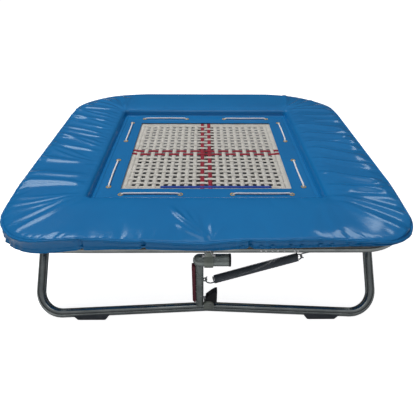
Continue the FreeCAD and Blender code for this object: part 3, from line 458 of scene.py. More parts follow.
def addRod(bm, start, end, radius, sides):
    start, end = Vector(start), Vector(end)
    run = end - start
    turn = run.to_track_quat("Z", "X").to_matrix().to_4x4()
    bmesh.ops.create_cone(
        bm, cap_ends=True, segments=sides, radius1=radius, radius2=radius, depth=run.length,
        matrix=Matrix.Translation((start + end) / 2) @ turn)


# A close-wound coil from start to end: a small circle spun along a screw.
def addCoil(bm, start, end, radius, wire, pitch, stepsPerTurn=8, sides=5):
    start, end = Vector(start), Vector(end)
    length = (end - start).length
    turns = length / pitch
    steps = int(turns * stepsPerTurn)
    before = set(bm.verts)
    verts = wireCircle(bm, radius, wire, sides)
    bmesh.ops.spin(
        bm, geom=verts + linkedEdges(verts), cent=(0, 0, 0), axis=(0, 0, 1), dvec=(0, 0, length / steps),
        angle=math.tau * turns, steps=steps, use_merge=False)
    made = [vert for vert in bm.verts if vert not in before]
    turn = (end - start).to_track_quat("Z", "X").to_matrix()
    bmesh.ops.rotate(bm, verts=made, cent=(0, 0, 0), matrix=turn)
    bmesh.ops.translate(bm, verts=made, vec=start)


# Copies all there is to each place: shifted first, then turned about the upright axis.
def repeatTurned(bm, places):
    first = list(bm.verts) + list(bm.edges) + list(bm.faces)
    for angle, shift in places:
        verts = vertsOf(bmesh.ops.duplicate(bm, geom=first)["geom"])
        bmesh.ops.translate(bm, verts=verts, vec=shift)
        turnAll(bm, verts, angle, "Z")
    bmesh.ops.delete(bm, geom=vertsOf(first), context="VERTS")


bed = {
    "height": 0.332,
    "straps": 20,
    "pitch": 0.0283,
    "flat": (0.57, 0.57),
    "strapWidth": 0.0148,
    "strapThickness": 0.0009,
    "crown": 0.0002,
    "wave": 0.0006,
    "squareness": 1.5,  # how flat the straps lie between their crossings
    "strapEnd": 0.283,
    "redStraps": (9, 10),
    "redEnd": 0.298,
    "redClimb": (0.272, 0.279),  # where the red straps climb onto the border
    "overBorder": 0.0034,
    "springSpacing": 0.066,
    "springsPerSide": 9,
}


def buildWeave():
    bm = bmesh.new()
    count, pitch = bed["straps"], bed["pitch"]
    middle = (count - 1) / 2
    for along in ("x", "y"):
        over = 1 if along == "x" else -1
        for index in range(count):
            grid = bmesh.ops.create_grid(bm, x_segments=count * 8, y_segments=2, size=1.0)
            verts = grid["verts"]
            faces = list({face for vert in verts for face in vert.link_faces})
            offset = (index - middle) * pitch
            red = index in bed["redStraps"]
            end = bed["redEnd"] if red else bed["strapEnd"]
            for vert in verts:
                run = vert.co.x * end
                wave = math.cos(math.pi * (run / pitch + middle) + math.pi * index)
                wave = max(-1.0, min(1.0, wave * bed["squareness"]))
                height = wave * bed["wave"] * over
                side = offset + vert.co.y * bed["strapWidth"] / 2
                crown = (1 - vert.co.y ** 2) * bed["crown"]
                if red:
                    climb = float(between(np.float64(abs(run)), *bed["redClimb"]))
                    height += (bed["overBorder"] - height) * climb
                place = (run, side) if along == "x" else (side, run)
                vert.co = (*place, bed["height"] + height + crown)
            for face in faces:
                face.material_index = (2 if red else 0) + (0 if along == "x" else 1)
    bmesh.ops.recalc_face_normals(bm, faces=bm.faces)
    bmesh.ops.solidify(bm, geom=list(bm.faces), thickness=bed["strapThickness"])
    bmesh.ops.recalc_face_normals(bm, faces=bm.faces)
    weave = keepPiece(
        "bedWeave", bm, ("creamAcross", "creamAlong", "redAcross", "redAlong"), "bed")
    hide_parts("bed_web")


border = {
    "inner": 0.2765,
    "outer": 0.322,
    "seams": (0.2835, 0.292, 0.300, 0.308, 0.3115, 0.316, 0.3205),
    "notchStart": 0.308,
    "notchHalf": 0.007,
    "notchedTo": 0.272,
    "thickness": 0.002,
    # reach from the middle, and half the thickness there: the rod pocket is the thick part
    "profile": [(0.2765, 0.0016), (0.2835, 0.0021), (0.300, 0.0022), (0.308, 0.0024),
                (0.3115, 0.0034), (0.316, 0.0041), (0.3205, 0.0032), (0.322, 0.0012)],
}


def faceReach(face):
    return [abs(value) for value in face.calc_center_median()[:2]]


# The hem all round the weave, with a rod pocket at its edge and notches for the springs.
def buildBorder():
    spacing, notch = bed["springSpacing"], border["notchHalf"]
    half = [0.0, notch]
    for step in range(1, (bed["springsPerSide"] + 1) // 2):
        half += [step * spacing - notch, step * spacing + notch]
    half += [border["inner"], *border["seams"], border["outer"]]
    half = sorted(set(round(value, 5) for value in half))
    lines = sorted(set([-value for value in half] + half))
    count = len(lines) - 1
    bm = bmesh.new()
    bmesh.ops.create_grid(bm, x_segments=count, y_segments=count, size=1.0)
    for vert in bm.verts:
        column = round((vert.co.x + 1) / 2 * count)
        row = round((vert.co.y + 1) / 2 * count)
        vert.co = (lines[column], lines[row], 0)
    gone = []
    for face in bm.faces:
        along, reach = sorted(faceReach(face))
        toSpring = abs((along + spacing / 2) % spacing - spacing / 2)
        inNotch = reach > border["notchStart"] and along < border["notchedTo"] and toSpring < notch
        if reach < border["inner"] or inNotch:
            gone.append(face)
    bmesh.ops.delete(bm, geom=gone, context="FACES")
    bmesh.ops.solidify(bm, geom=list(bm.faces), thickness=border["thickness"])
    bmesh.ops.recalc_face_normals(bm, faces=bm.faces)
    middle = sum(vert.co.z for vert in bm.verts) / len(bm.verts)
    stations, heights = zip(*border["profile"])
    for vert in bm.verts:
        reach = max(abs(vert.co.x), abs(vert.co.y))
        height = float(np.interp(reach, stations, heights))
        vert.co.z = bed["height"] + math.copysign(height, vert.co.z - middle)
    for face in bm.faces:
        x, y = faceReach(face)
        face.material_index = 1 if x > y else 0
    piece = keepPiece("bedBorder", bm, ("creamAcross", "creamAlong"), "bed")
    smooth = piece.modifiers.new("Smooth", "SUBSURF")
    smooth.levels = smooth.render_levels = 1
    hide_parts("bed_hem")


tape = {"ends": (-0.159, 0.226), "inner": 0.2665, "outer": 0.2800, "thickness": 0.0008, "ripple": 0.0002}


def buildTape():
    bm = bmesh.new()
    bmesh.ops.create_grid(bm, x_segments=24, y_segments=2, size=1.0)
    first, last = tape["ends"]
    for vert in bm.verts:
        x = first + (last - first) * (vert.co.x + 1) / 2
        y = -(tape["inner"] + tape["outer"]) / 2 + vert.co.y * (tape["outer"] - tape["inner"]) / 2
        vert.co = (x, y, bed["height"] + bed["overBorder"] + tape["ripple"] * math.sin(x * 90))
    bmesh.ops.solidify(bm, geom=list(bm.faces), thickness=tape["thickness"])
    bmesh.ops.recalc_face_normals(bm, faces=bm.faces)
    keepPiece("bedTape", bm, ("royalTape",), "bed")


buildBorder()
buildWeave()
buildTape()
print("bed ready")


coil = {
    "height": 0.332,
    "innerHook": 0.3164,
    "outerHook": 0.5628,
    "neck": 0.0112,
    "hookRadius": 0.0052,
    "wire": 0.0015,
    "radius": 0.0055,
    "pitch": 0.0031,
    "stretch": (0.563, 0.3165),  # still at the frame, and all the bed's at the hem
}


# One coil spring with a hook at each end, repeated along each side of the bed.
def buildBedSprings():
    sides = {"right": 0.0, "rear": math.pi / 2, "left": math.pi, "front": -math.pi / 2}
    z, wire, radius = coil["height"], coil["wire"], coil["radius"]
    start = coil["innerHook"] + coil["neck"]
    end = coil["outerHook"] - coil["neck"]
    middle = (bed["springsPerSide"] - 1) / 2
    for name, angle in sides.items():
        bm = bmesh.new()
        addCoil(bm, (start, 0, z), (end, 0, z), radius, wire, coil["pitch"])
        for hook, foot in ((coil["innerHook"], start), (coil["outerHook"], end)):
            addRing(bm, coil["hookRadius"], wire, (hook, 0, z), 16, 6)
            near = hook + math.copysign(coil["hookRadius"], foot - hook)
            addRod(bm, (near, 0, z), (foot, 0, z), wire, 6)
            addRod(bm, (foot, 0, z - radius), (foot, 0, z + radius), wire, 6)
        repeatTurned(bm, [(angle, (0, (step - middle) * bed["springSpacing"], 0))
                          for step in range(bed["springsPerSide"])])
        springs = keepPiece(f"{name}BedSprings", bm, ("steel",), None)
        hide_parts("bed_springs")
        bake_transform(springs)


tension = {
    "lean": 20,  # degrees up from level
    "length": 0.262,
    "radius": 0.0115,
    "wire": 0.00195,
    "pitch": 0.00415,
    "wallLine": 0.0112,  # from the axis to where a hook leaves the coil
    "outside": 0.0135,
    "hook": 0.015,
    "hookGap": 0.002,
    "hookSeat": (0.72, 0.98),  # from the hook's middle to the coil, along and across, in hook radii
    "hookBow": (110, 160),  # degrees: where the bow starts and how far it turns
    "tail": 0.008,
    "blendFrom": 0.01,
}


# The spring's axis and ends, worked out from the CAD spring that it replaces.
def springLine():
    low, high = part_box("front_tension_spring")
    lean = math.radians(tension["lean"])
    heading = Vector((math.cos(lean), 0, math.sin(lean)))
    normal = Vector((-math.sin(lean), 0, math.cos(lean)))
    hook = tension["hook"]
    along, across = tension["hookSeat"]
    toStart = heading * (hook * along) + normal * (tension["wallLine"] - hook * across)
    toFinish = toStart + heading * tension["length"]
    hookCentre = Vector((low.x + hook + tension["hookGap"], (low.y + high.y) / 2, 0))
    hookCentre.z = high.z - toFinish.z - normal.z * tension["outside"]
    return heading, normal, hookCentre, hookCentre + toStart, hookCentre + toFinish


def addBow(bm, place, facing, centre, axis, angle):
    verts = bmesh.ops.create_circle(bm, segments=10, radius=tension["wire"])["verts"]
    edges = linkedEdges(verts)
    turn = facing.to_track_quat("Z", "X").to_matrix()
    bmesh.ops.rotate(bm, verts=verts, cent=(0, 0, 0), matrix=turn)
    bmesh.ops.translate(bm, verts=verts, vec=place)
    return bmesh.ops.spin(
        bm, geom=verts + edges, cent=centre, axis=axis, dvec=(0, 0, 0),
        angle=angle, steps=18, use_merge=False)["geom_last"]


# An open bow with a straight tail at the strut's end, and a half ring at the frame's end.
def addHooks(bm, heading, normal, centre, start, finish):
    hook, wallLine = tension["hook"], tension["wallLine"]
    first, turned = (math.radians(angle) for angle in tension["hookBow"])
    place = centre + (heading * math.cos(first) + normal * math.sin(first)) * hook
    tangent = normal * math.cos(first) - heading * math.sin(first)
    last = addBow(bm, place, tangent, centre, heading.cross(normal), turned)
    lastEdges = [item for item in last if isinstance(item, bmesh.types.BMEdge)]
    grown = vertsOf(bmesh.ops.extrude_edge_only(bm, edges=lastEdges)["geom"])
    bowEnd = centre - normal * hook
    tail = start - normal * wallLine + heading * tension["tail"]
    bmesh.ops.translate(bm, verts=grown, vec=tail - bowEnd)
    sideways = Vector((0, 1, 0))
    addBow(bm, finish + sideways * wallLine, heading, finish, sideways.cross(heading), math.pi)
    bmesh.ops.holes_fill(bm, edges=[edge for edge in bm.edges if edge.is_boundary], sides=12)
    bmesh.ops.recalc_face_normals(bm, faces=bm.faces)


def buildTensionSprings():
    heading, normal, hookCentre, start, finish = springLine()
    for end, angle in ends.items():
        bm = bmesh.new()
        addCoil(bm, start, finish, tension["radius"], tension["wire"], tension["pitch"], 14, 8)
        turnAll(bm, bm.verts, angle, "Z")
        spring = keepPiece(f"{end}TensionSpring", bm, ("darkSpring",), None)
        bm = bmesh.new()
        addHooks(bm, heading, normal, hookCentre, start, finish)
        turnAll(bm, bm.verts, angle, "Z")
        hooks = keepPiece(f"{end}TensionHooks", bm, ("darkSpring",), None)
        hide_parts(f"{end}_tension_spring")
        for piece in (spring, hooks):
            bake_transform(piece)


buildBedSprings()
buildTensionSprings()
print("springs ready")


# One sewn cover over the foam, with a thin flap towards the bed.
pad = {
    "around": 1200,
    "rows": 150,
    "inner": 0.374,
    "outer": 0.6098,
    "sectionWidth": 0.6106,  # the section's own half width, before the sides are widened
    "halfWidth": {"left": 0.6185, "right": 0.6155, "front": 0.6050, "rear": 0.6085},
    "cornerRadius": (0.196, 0.188, 0.160, 0.130),  # rear right, rear left, front left, front right
    "innerRadius": 0.004,
    "rounding": 0.8,
    "cornerDroop": (0.016, 0.014, 0.017, 0.021),
    "skirtDrop": (0.000, 0.002, -0.006, -0.023),
    "frontStarts": (0.40, 0.58),
    # along the front: how far from the middle, and how high its skirt is drawn up
    "frontSkirt": [(-0.46, 0.0), (-0.34, 0.005), (-0.26, 0.007), (-0.14, 0.007), (-0.06, 0.002),
                   (0.02, 0.002), (0.09, 0.008), (0.25, 0.011), (0.34, 0.015), (0.45, 0.017)],
    # along the front: how far from the middle, and how low its piping is pulled down
    "frontDip": [(-0.50, 0.0), (-0.36, 0.0), (-0.33, 0.004), (-0.24, 0.011), (-0.18, 0.012),
                 (-0.10, 0.017), (-0.01, 0.022), (0.04, 0.015), (0.10, 0.008), (0.17, 0.009),
                 (0.28, 0.005), (0.40, 0.003), (0.50, 0.0)],
    "tucks": (-0.352, -0.178, 0.12),
    "tucksFrom": 0.56,
    "flapCrease": 0.3,
    "mostFlapCrease": 0.0012,
    "lowest": 0.3412,
    "section": [
        # name, reach from the middle, height, rows per length
        ("flapEdge", 0.2925, 0.3384, 1.0),
        ("", 0.2918, 0.3394, 3.0),
        ("", 0.2932, 0.3404, 3.0),
        ("", 0.3150, 0.3416, 0.8),
        ("", 0.3400, 0.3426, 0.8),
        ("seam", 0.3590, 0.3426, 1.0),
        ("", 0.3630, 0.3412, 2.0),
        ("", 0.3650, 0.3428, 2.0),
        ("", 0.3685, 0.3450, 2.0),
        ("", 0.3725, 0.3446, 2.0),
        ("valley", 0.3765, 0.3418, 2.0),
        ("", 0.3796, 0.3500, 2.0),
        ("", 0.3832, 0.3590, 2.0),
        ("", 0.3890, 0.3658, 1.8),
        ("", 0.3970, 0.3692, 1.6),
        ("", 0.4120, 0.3707, 1.3),
        ("", 0.4350, 0.3714, 1.0),
        ("crown", 0.4600, 0.3719, 0.9),
        ("", 0.5200, 0.3724, 0.9),
        ("", 0.5700, 0.3723, 0.9),
        ("", 0.5960, 0.3721, 1.0),
        ("", 0.6038, 0.3717, 1.6),
        ("bead", 0.6052, 0.3700, 4.0),
        ("", 0.6064, 0.3716, 4.0),
        ("", 0.6086, 0.3722, 4.0),
        ("", 0.6106, 0.3708, 4.0),
        ("", 0.6114, 0.3680, 4.0),
        ("", 0.6106, 0.3652, 3.0),
        ("band", 0.6088, 0.3642, 3.0),
        ("", 0.6076, 0.3580, 1.8),
        ("", 0.6074, 0.3480, 1.2),
        ("", 0.6084, 0.3390, 1.4),
        ("", 0.6092, 0.3376, 3.0),
        ("", 0.6104, 0.3300, 2.0),
        ("hem", 0.6118, 0.3262, 3.0),
        ("", 0.6106, 0.3242, 3.0),
        ("", 0.6086, 0.3246, 3.0),
        ("", 0.6068, 0.3300, 1.5),
        ("inside", 0.6056, 0.3380, 1.0),
        ("", 0.6036, 0.3402, 1.0),
        ("", 0.3850, 0.3402, 0.25),
        ("", 0.3740, 0.3406, 1.0),
        ("", 0.3250, 0.3404, 0.4),
        ("", 0.2940, 0.3380, 0.4),
        ("end", 0.2925, 0.3384, 1.0),
    ],
}


# Where each row of the cover lies, as a share of the way along its section.
def padSection():
    names, reach, height, fineness = (np.array(column) for column in zip(*pad["section"]))
    steps = np.hypot(np.diff(reach), np.diff(height)) * fineness[1:]
    share = np.concatenate([[0.0], np.cumsum(steps)]) / steps.sum()
    return share, reach, height, {name: place for name, place in zip(names, share) if name}


# A height along the front that only the skirt or the piping follows, as its dictionary lists it.
def alongFront(key, x, y):
    places, heights = zip(*pad[key])
    return np.interp(x, places, heights) * between(-y, *pad["frontStarts"])


# The cover's smooth form before it creases: one section swept round the four sides.
def padForm(share, row):
    rows, reaches, heights, named = padSection()
    reach = np.interp(row, rows, reaches)
    height = np.interp(row, rows, heights)
    quarter = np.floor(share * 4 + 0.5)
    along = (share * 4 - quarter) * 2
    corner = np.where(along > 0, quarter, quarter - 1).astype(int) % 4
    nearCorner = np.abs(along)
    outward = np.clip((reach - pad["inner"]) / (pad["outer"] - pad["inner"]), 0, 1)
    radius = np.array(pad["cornerRadius"])[corner]
    radius = pad["innerRadius"] + (radius - pad["innerRadius"]) * outward ** pad["rounding"]
    straight = reach - radius
    run = nearCorner * (straight + math.pi / 4 * radius)
    bend = np.clip((run - straight) / radius, 0, math.pi / 4)
    side = (np.minimum(run, straight) + radius * np.sin(bend)) * np.sign(along)
    out = straight + radius * np.cos(bend)
    turn = quarter * math.pi / 2
    x = out * np.cos(turn) - side * np.sin(turn)
    y = out * np.sin(turn) + side * np.cos(turn)
    half = pad["halfWidth"]
    wideX = np.where(x > 0, half["right"], half["left"]) / pad["sectionWidth"]
    wideY = np.where(y > 0, half["rear"], half["front"]) / pad["sectionWidth"]
    x = x * (1 + (wideX - 1) * outward ** 2)
    y = y * (1 + (wideY - 1) * outward ** 2)
    atCorner = between(nearCorner, 0.5, 1.0)
    outside = row < named["inside"]
    lowered = between(row, named["band"], named["hem"])
    upper = between(row, named["valley"], named["crown"]) * (1 - between(row, named["hem"], 1.0))
    droop = np.array(pad["cornerDroop"])[corner] * atCorner * outward ** 2 * upper
    skirt = np.array(pad["skirtDrop"])[corner] * atCorner * lowered
    drawn = alongFront("frontSkirt", x, y) * lowered
    dip = alongFront("frontDip", x, y) * outward ** 4 * (1 - lowered)
    return x, y, height + (drawn - skirt - droop - dip) * outside, named


crease = {
    "sway": (0.006, 5, 60),  # how far a ridge wanders, how often, and how it varies from place to place
    "firstWidth": 0.35,  # share of its width that a ridge starts with, before it flares out
}


# A soft ridge along the line from start to end, steeper on one side.
def foldLine(x, y, start, end, width, depth, fadeIn, fadeOut, sharp=0.6):
    start, end = np.array(start, float), np.array(end, float)
    run = end - start
    length = np.linalg.norm(run)
    run = run / length
    along = ((x - start[0]) * run[0] + (y - start[1]) * run[1]) / length
    across = (x - start[0]) * -run[1] + (y - start[1]) * run[0]
    sway, pace, variety = crease["sway"]
    across = across + sway * np.sin(along * pace + start[1] * variety)
    fade = between(along, 0, fadeIn) * (1 - between(along, 1 - fadeOut, 1))
    flare = crease["firstWidth"] + (1 - crease["firstWidth"]) * np.clip(along, 0, 1)
    slope = across / (width * flare)
    return depth * flare * fade * np.exp(-slope ** 2) * (1 - sharp * slope)


folds = {
    "outerEnd": 0.622,
    "puckerFade": {-1: 0.05, 1: 0.3},
    # side, first y, last y, step, slant towards the rear, inner reach, width, depth
    "puckers": [
        (-1, -0.17, 0.33, 0.043, 0.095, (0.385, 0.42), (0.014, 0.021), (0.0050, 0.0070)),
        (-1, -0.34, -0.17, 0.080, 0.010, (0.385, 0.40), (0.022, 0.030), (0.0062, 0.0080)),
        (1, -0.28, 0.30, 0.085, -0.100, (0.380, 0.39), (0.020, 0.030), (0.0085, 0.0120)),
        (1, 0.04, 0.36, 0.070, -0.020, (0.42, 0.48), (0.013, 0.019), (0.0050, 0.0066)),
    ],
    # corner, first and last angle from the side's direction, how many, reach, width, depth, fade
    "fans": [
        ((-1, -1), 4, 52, 6, (0.26, 0.33), (0.012, 0.017), (0.0026, 0.0036), 0.72),
        ((1, -1), -4, 40, 4, (0.28, 0.33), (0.028, 0.036), (0.0085, 0.0115), 0.22),
        ((1, -1), 56, 110, 4, (0.16, 0.22), (0.030, 0.040), (0.0022, 0.0036), 0.22),
        ((-1, 1), 4, 84, 7, (0.18, 0.24), (0.016, 0.022), (0.0056, 0.0080), 0.22),
        ((1, 1), 6, 80, 5, (0.18, 0.23), (0.018, 0.026), (0.0066, 0.0086), 0.22),
    ],
    "tiePlace": (0.005, -0.603),
    # from the tie at the middle of the front: angle, reach, width, depth
    "tie": [
        (128, 0.21, 0.011, 0.0074), (119, 0.17, 0.009, 0.0046), (109, 0.14, 0.009, 0.0028),
        (143, 0.13, 0.009, 0.0036), (78, 0.11, 0.009, 0.0015), (50, 0.10, 0.009, 0.0012),
    ],
}


# Creases of the vinyl: puckers across the side pads, fans from the corners and the front's tie.
def foldHeights(x, y):
    total = np.zeros_like(x)
    for side, first, last, step, slant, inner, width, depth in folds["puckers"]:
        for place in np.arange(first, last, step):
            place = place + rng.uniform(-0.3, 0.3) * step
            rise = slant + rng.uniform(-0.02, 0.02)
            start = (side * rng.uniform(*inner), place)
            end = (side * folds["outerEnd"], place + rise)
            total += foldLine(x, y, start, end, rng.uniform(*width), rng.uniform(*depth),
                              0.22, folds["puckerFade"][side], rng.uniform(0.3, 0.8))
    for (sideX, sideY), first, last, count, reach, width, depth, fade in folds["fans"]:
        for angle in np.linspace(first, last, count):
            angle = math.radians(angle + rng.uniform(-4, 4))
            way = np.array((sideX * math.cos(angle), sideY * math.sin(angle)))
            start = np.array((sideX, sideY)) * pad["inner"] + way * rng.uniform(0.0, 0.05)
            end = start + way * rng.uniform(*reach)
            total += foldLine(x, y, start, end, rng.uniform(*width), rng.uniform(*depth), 0.2, fade)
    for angle, reach, width, depth in folds["tie"]:
        way = np.array((math.cos(math.radians(angle)), math.sin(math.radians(angle))))
        tied = np.array(folds["tiePlace"])
        total += foldLine(x, y, tied, tied + way * reach, width, depth, 0.12, 0.4)
    return total


gathers = {
    "around": 4.6,  # metres of skirt
    # radians a metre, phase, share
    "fine": ((150, 0.0, 0.5), (233, 1.3, 0.5)),
    "slow": ((41, 0.7, 0.6), (67, 2.0, 0.4)),
    "heights": (0.0004, 0.0046, 0.0024),  # all round, more at the front's right, more at the left
    "slowPush": 0.0012,
    "slowRise": 0.0016,
    "pipingHalf": 0.02,  # as a share of the section
    "tuckHalf": 0.006,
    "tuckDepth": 0.012,
}


def addWaves(run, waves):
    return sum(np.sin(run * pace + phase) * share for pace, phase, share in waves)


# Small waves of the skirt, where elastic and ties gather it, and slow ones of its piping.
def gather(share, x, y):
    run = share * gathers["around"]
    everywhere, moreFront, moreLeft = gathers["heights"]
    frontRight = between(x, -0.02, 0.1) * between(-y, 0.4, 0.55) * (1 - between(x, 0.44, 0.52))
    left = between(-x, 0.5, 0.58) * between(-y, -0.1, 0.1)
    height = everywhere + moreFront * frontRight + moreLeft * left
    return addWaves(run, gathers["fine"]) * height, addWaves(run, gathers["slow"])


# A flat grid that will be rolled into a closed ring, and how far round and along each point is.
def gridMesh(name, around, rows):
    bm = bmesh.new()
    bmesh.ops.create_grid(bm, x_segments=around, y_segments=rows, size=0.5)
    mesh = bpy.data.meshes.new(name)
    bm.to_mesh(mesh)
    bm.free()
    places = np.empty(len(mesh.vertices) * 3)
    mesh.vertices.foreach_get("co", places)
    places = places.reshape(-1, 3)
    return mesh, np.mod(places[:, 0] + 0.5, 1.0), places[:, 1] + 0.5


# Moves the grid's points to their places and joins its edges; returns the points that are left.
def closeRing(mesh, places):
    mesh.vertices.foreach_set("co", np.ascontiguousarray(places).ravel())
    bm = bmesh.new()
    bm.from_mesh(mesh)
    order = bm.verts.layers.int.new("order")
    for number, vert in enumerate(bm.verts):
        vert[order] = number
    bmesh.ops.remove_doubles(bm, verts=bm.verts, dist=1e-6)
    bmesh.ops.recalc_face_normals(bm, faces=bm.faces)
    kept = [vert[order] for vert in bm.verts]
    bm.verts.layers.int.remove(order)
    bm.to_mesh(mesh)
    bm.free()
    return kept


# 1 on the cover's upper face, 0 on its flap, piping, skirt and underside.
def padTop(row, named):
    risen = named["valley"] + (named["crown"] - named["valley"]) * 0.7
    return between(row, named["valley"], risen) * (1 - between(row, named["bead"] - 0.02, named["bead"]))


cloth = {
    "around": 400,
    "rows": 60,
    "frames": 20,
    "creased": 0.5,  # how much of the creases it starts with
    "freedom": 0.9,  # of the upper face; the rest is held
    "mostMoved": 0.007,
    "fabric": {
        "quality": 4,
        "mass": 0.3,
        "tension_stiffness": 20,
        "compression_stiffness": 20,
        "shear_stiffness": 8,
        "bending_stiffness": 2.0,
        "pin_stiffness": 1.0,
        "shrink_min": -0.022,  # how much longer the vinyl is than its form
        "use_pressure": True,
        "uniform_pressure_force": 4.0,
    },
}


# Lets a coarse copy of the cover settle with slack, and returns how far each place moved.
def settleCloth():
    mesh, share, row = gridMesh("settling", cloth["around"], cloth["rows"])
    x, y, height, named = padForm(share, row)
    top = padTop(row, named)
    before = np.stack([x, y, height + foldHeights(x, y) * cloth["creased"] * top], axis=1)
    kept = closeRing(mesh, before)
    piece = linkObject("settling", mesh)
    held = piece.vertex_groups.new(name="held")
    for index, weight in enumerate((1 - top * cloth["freedom"])[kept]):
        held.add([index], float(weight), "REPLACE")
    settle = piece.modifiers.new("Settle", "CLOTH")
    for key, value in cloth["fabric"].items():
        setattr(settle.settings, key, value)
    settle.settings.vertex_group_mass = "held"
    settle.settings.effector_weights.gravity = 0
    settle.collision_settings.use_collision = False
    settle.point_cache.frame_start = 1
    settle.point_cache.frame_end = cloth["frames"]
    scene = bpy.context.scene
    for frameNumber in range(1, cloth["frames"] + 1):
        scene.frame_set(frameNumber)
    settled = piece.evaluated_get(bpy.context.evaluated_depsgraph_get()).to_mesh()
    after = np.empty(len(settled.vertices) * 3)
    settled.vertices.foreach_get("co", after)
    moved = np.zeros((len(share), 3))
    moved[kept] = after.reshape(-1, 3) - before[kept]
    scene.frame_set(1)
    bpy.data.objects.remove(piece)
    size = np.linalg.norm(moved, axis=1, keepdims=True)
    print(f"cloth settled, mean move {float(size.mean()) * 1000:.2f} mm")
    moved = moved * np.minimum(1, cloth["mostMoved"] / np.maximum(size, 1e-9))
    moved = moved.reshape(cloth["rows"] + 1, cloth["around"] + 1, 3)
    moved[:, 0] = moved[:, -1] = moved[:, 0] + moved[:, -1]  # where the grid's edges were joined
    moved[0] = moved[-1] = 0
    return moved


# Reads the settled moves between their places, for a finer grid.
def spreadMoves(moved, share, row):
    lines, columns = moved.shape[:2]
    column, line = share * (columns - 1), row * (lines - 1)
    left = np.minimum(column.astype(int), columns - 2)
    below = np.minimum(line.astype(int), lines - 2)
    toRight, toAbove = (column - left)[:, None], (line - below)[:, None]
    low = moved[below, left] * (1 - toRight) + moved[below, left + 1] * toRight
    high = moved[below + 1, left] * (1 - toRight) + moved[below + 1, left + 1] * toRight
    return low * (1 - toAbove) + high * toAbove


def buildPad():
    mesh, share, row = gridMesh("padCover", pad["around"], pad["rows"])
    x, y, height, named = padForm(share, row)
    top = padTop(row, named)
    creases = foldHeights(x, y)
    onFlap = between(row, 0.03, 0.06) * (1 - between(row, named["seam"], named["valley"]))
    flapCreases = np.clip(creases * pad["flapCrease"], 0, pad["mostFlapCrease"])
    height = height + creases * top + flapCreases * onFlap
    waves, slow = gather(share, x, y)
    skirt = between(row, named["bead"], named["hem"]) * (1 - between(row, named["hem"], named["inside"]))
    piping = np.exp(-((row - named["band"]) / gathers["pipingHalf"]) ** 2)
    tuck = sum(np.exp(-((x - place) / gathers["tuckHalf"]) ** 2) for place in pad["tucks"])
    tuck = tuck * (y < -pad["tucksFrom"]) * (skirt + piping) * (row > named["crown"])
    push = waves * skirt + slow * gathers["slowPush"] * (skirt * 0.5 + piping) - tuck * gathers["tuckDepth"]
    push = 1 + push / 0.6
    height = height + waves * skirt * 0.8 + slow * gathers["slowRise"] * skirt
    places = np.stack([x * push, y * push, height], axis=1)
    loose = 0.15 + 0.3 * between(np.abs(x * push), 0.34, 0.46)
    places = places + spreadMoves(settleCloth(), share, row) * (top * loose)[:, None]
    onFoam = (row > named["valley"]) & (row < named["bead"])
    places[:, 2] = np.maximum(places[:, 2], np.where(onFoam, pad["lowest"], -1))
    closeRing(mesh, places)
    mesh.materials.append(finishes["vinyl"])
    mesh.shade_smooth()
    cover = linkObject("padCover", mesh)
    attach(cover, "frame")
    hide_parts("pad_cover", "pad_flaps", "front_foam", "rear_foam", "left_foam", "right_foam")


buildPad()
print("pad ready")


lacing = {
    "line": 0.334,
    "ends": (0.087, 0.285),
    "top": 0.3466,
    "bottom": 0.3217,
    "cord": 0.0029,
    "slack": 0.0012,
    "along": 150,
    "sides": 14,
    "braids": 46,
    "relief": 0.00022,
    "moves": ((0, 0, 0.343), (0, 0, 0.3217)),  # still at the top run, all the bed's at the bottom
}


# Where each point of a loop lies: over the flap, down, back under it and up again.
def cordLoop(share, row, side, middle):
    near, far = lacing["ends"]
    bend = (lacing["top"] - lacing["bottom"]) / 2
    straight = far - near - 2 * bend
    bendRun = math.pi * bend
    run = share * 2 * (straight + bendRun)
    over = np.clip(run, 0, straight)
    firstBend = np.clip(run - straight, 0, bendRun) / bend
    back = np.clip(run - straight - bendRun, 0, straight)
    lastBend = np.clip(run - 2 * straight - bendRun, 0, bendRun) / bend
    turn = firstBend + lastBend
    angle = row * math.tau
    twist = share * lacing["braids"] * math.tau
    braid = np.sin(angle * 2 + twist) * np.sin(angle * 2 - twist)
    radius = lacing["cord"] + lacing["relief"] * braid
    outward = bend + radius * np.cos(angle)
    sag = lacing["slack"] * np.sin(np.pi * np.clip(run / straight, 0, 1))
    alongSide = middle * (near + bend + over - back + outward * np.sin(turn))
    fromMiddle = lacing["line"] + radius * np.sin(angle) + sag * middle
    z = lacing["bottom"] + bend + outward * np.cos(turn)
    heading = side * math.pi / 2
    x = fromMiddle * math.cos(heading) - alongSide * math.sin(heading)
    y = fromMiddle * math.sin(heading) + alongSide * math.cos(heading)
    return np.stack([x, y, z], axis=1)


def buildLacing():
    bm = bmesh.new()
    for side in range(4):
        for middle in (-1, 1):
            mesh, share, row = gridMesh("cordLoop", lacing["along"], lacing["sides"])
            closeRing(mesh, cordLoop(share, row, side, middle))
            bm.from_mesh(mesh)
            bpy.data.meshes.remove(mesh)
    cords = keepPiece("lacingCords", bm, ("cord",), None)
    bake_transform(cords)
    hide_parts("pad_tie_cords")


eyelet = {
    "floor": 0.3404,
    "steps": 28,
    # reach from the eyelet's middle and height over the flap, once round the rolled rim
    "profile": [(0.0050, 0.0), (0.0050, 0.0026), (0.0056, 0.0033), (0.0068, 0.0037),
                (0.0082, 0.0034), (0.0092, 0.0025), (0.0090, 0.0022), (0.0066, 0.0021),
                (0.0066, 0.0004), (0.0088, 0.0)],
}


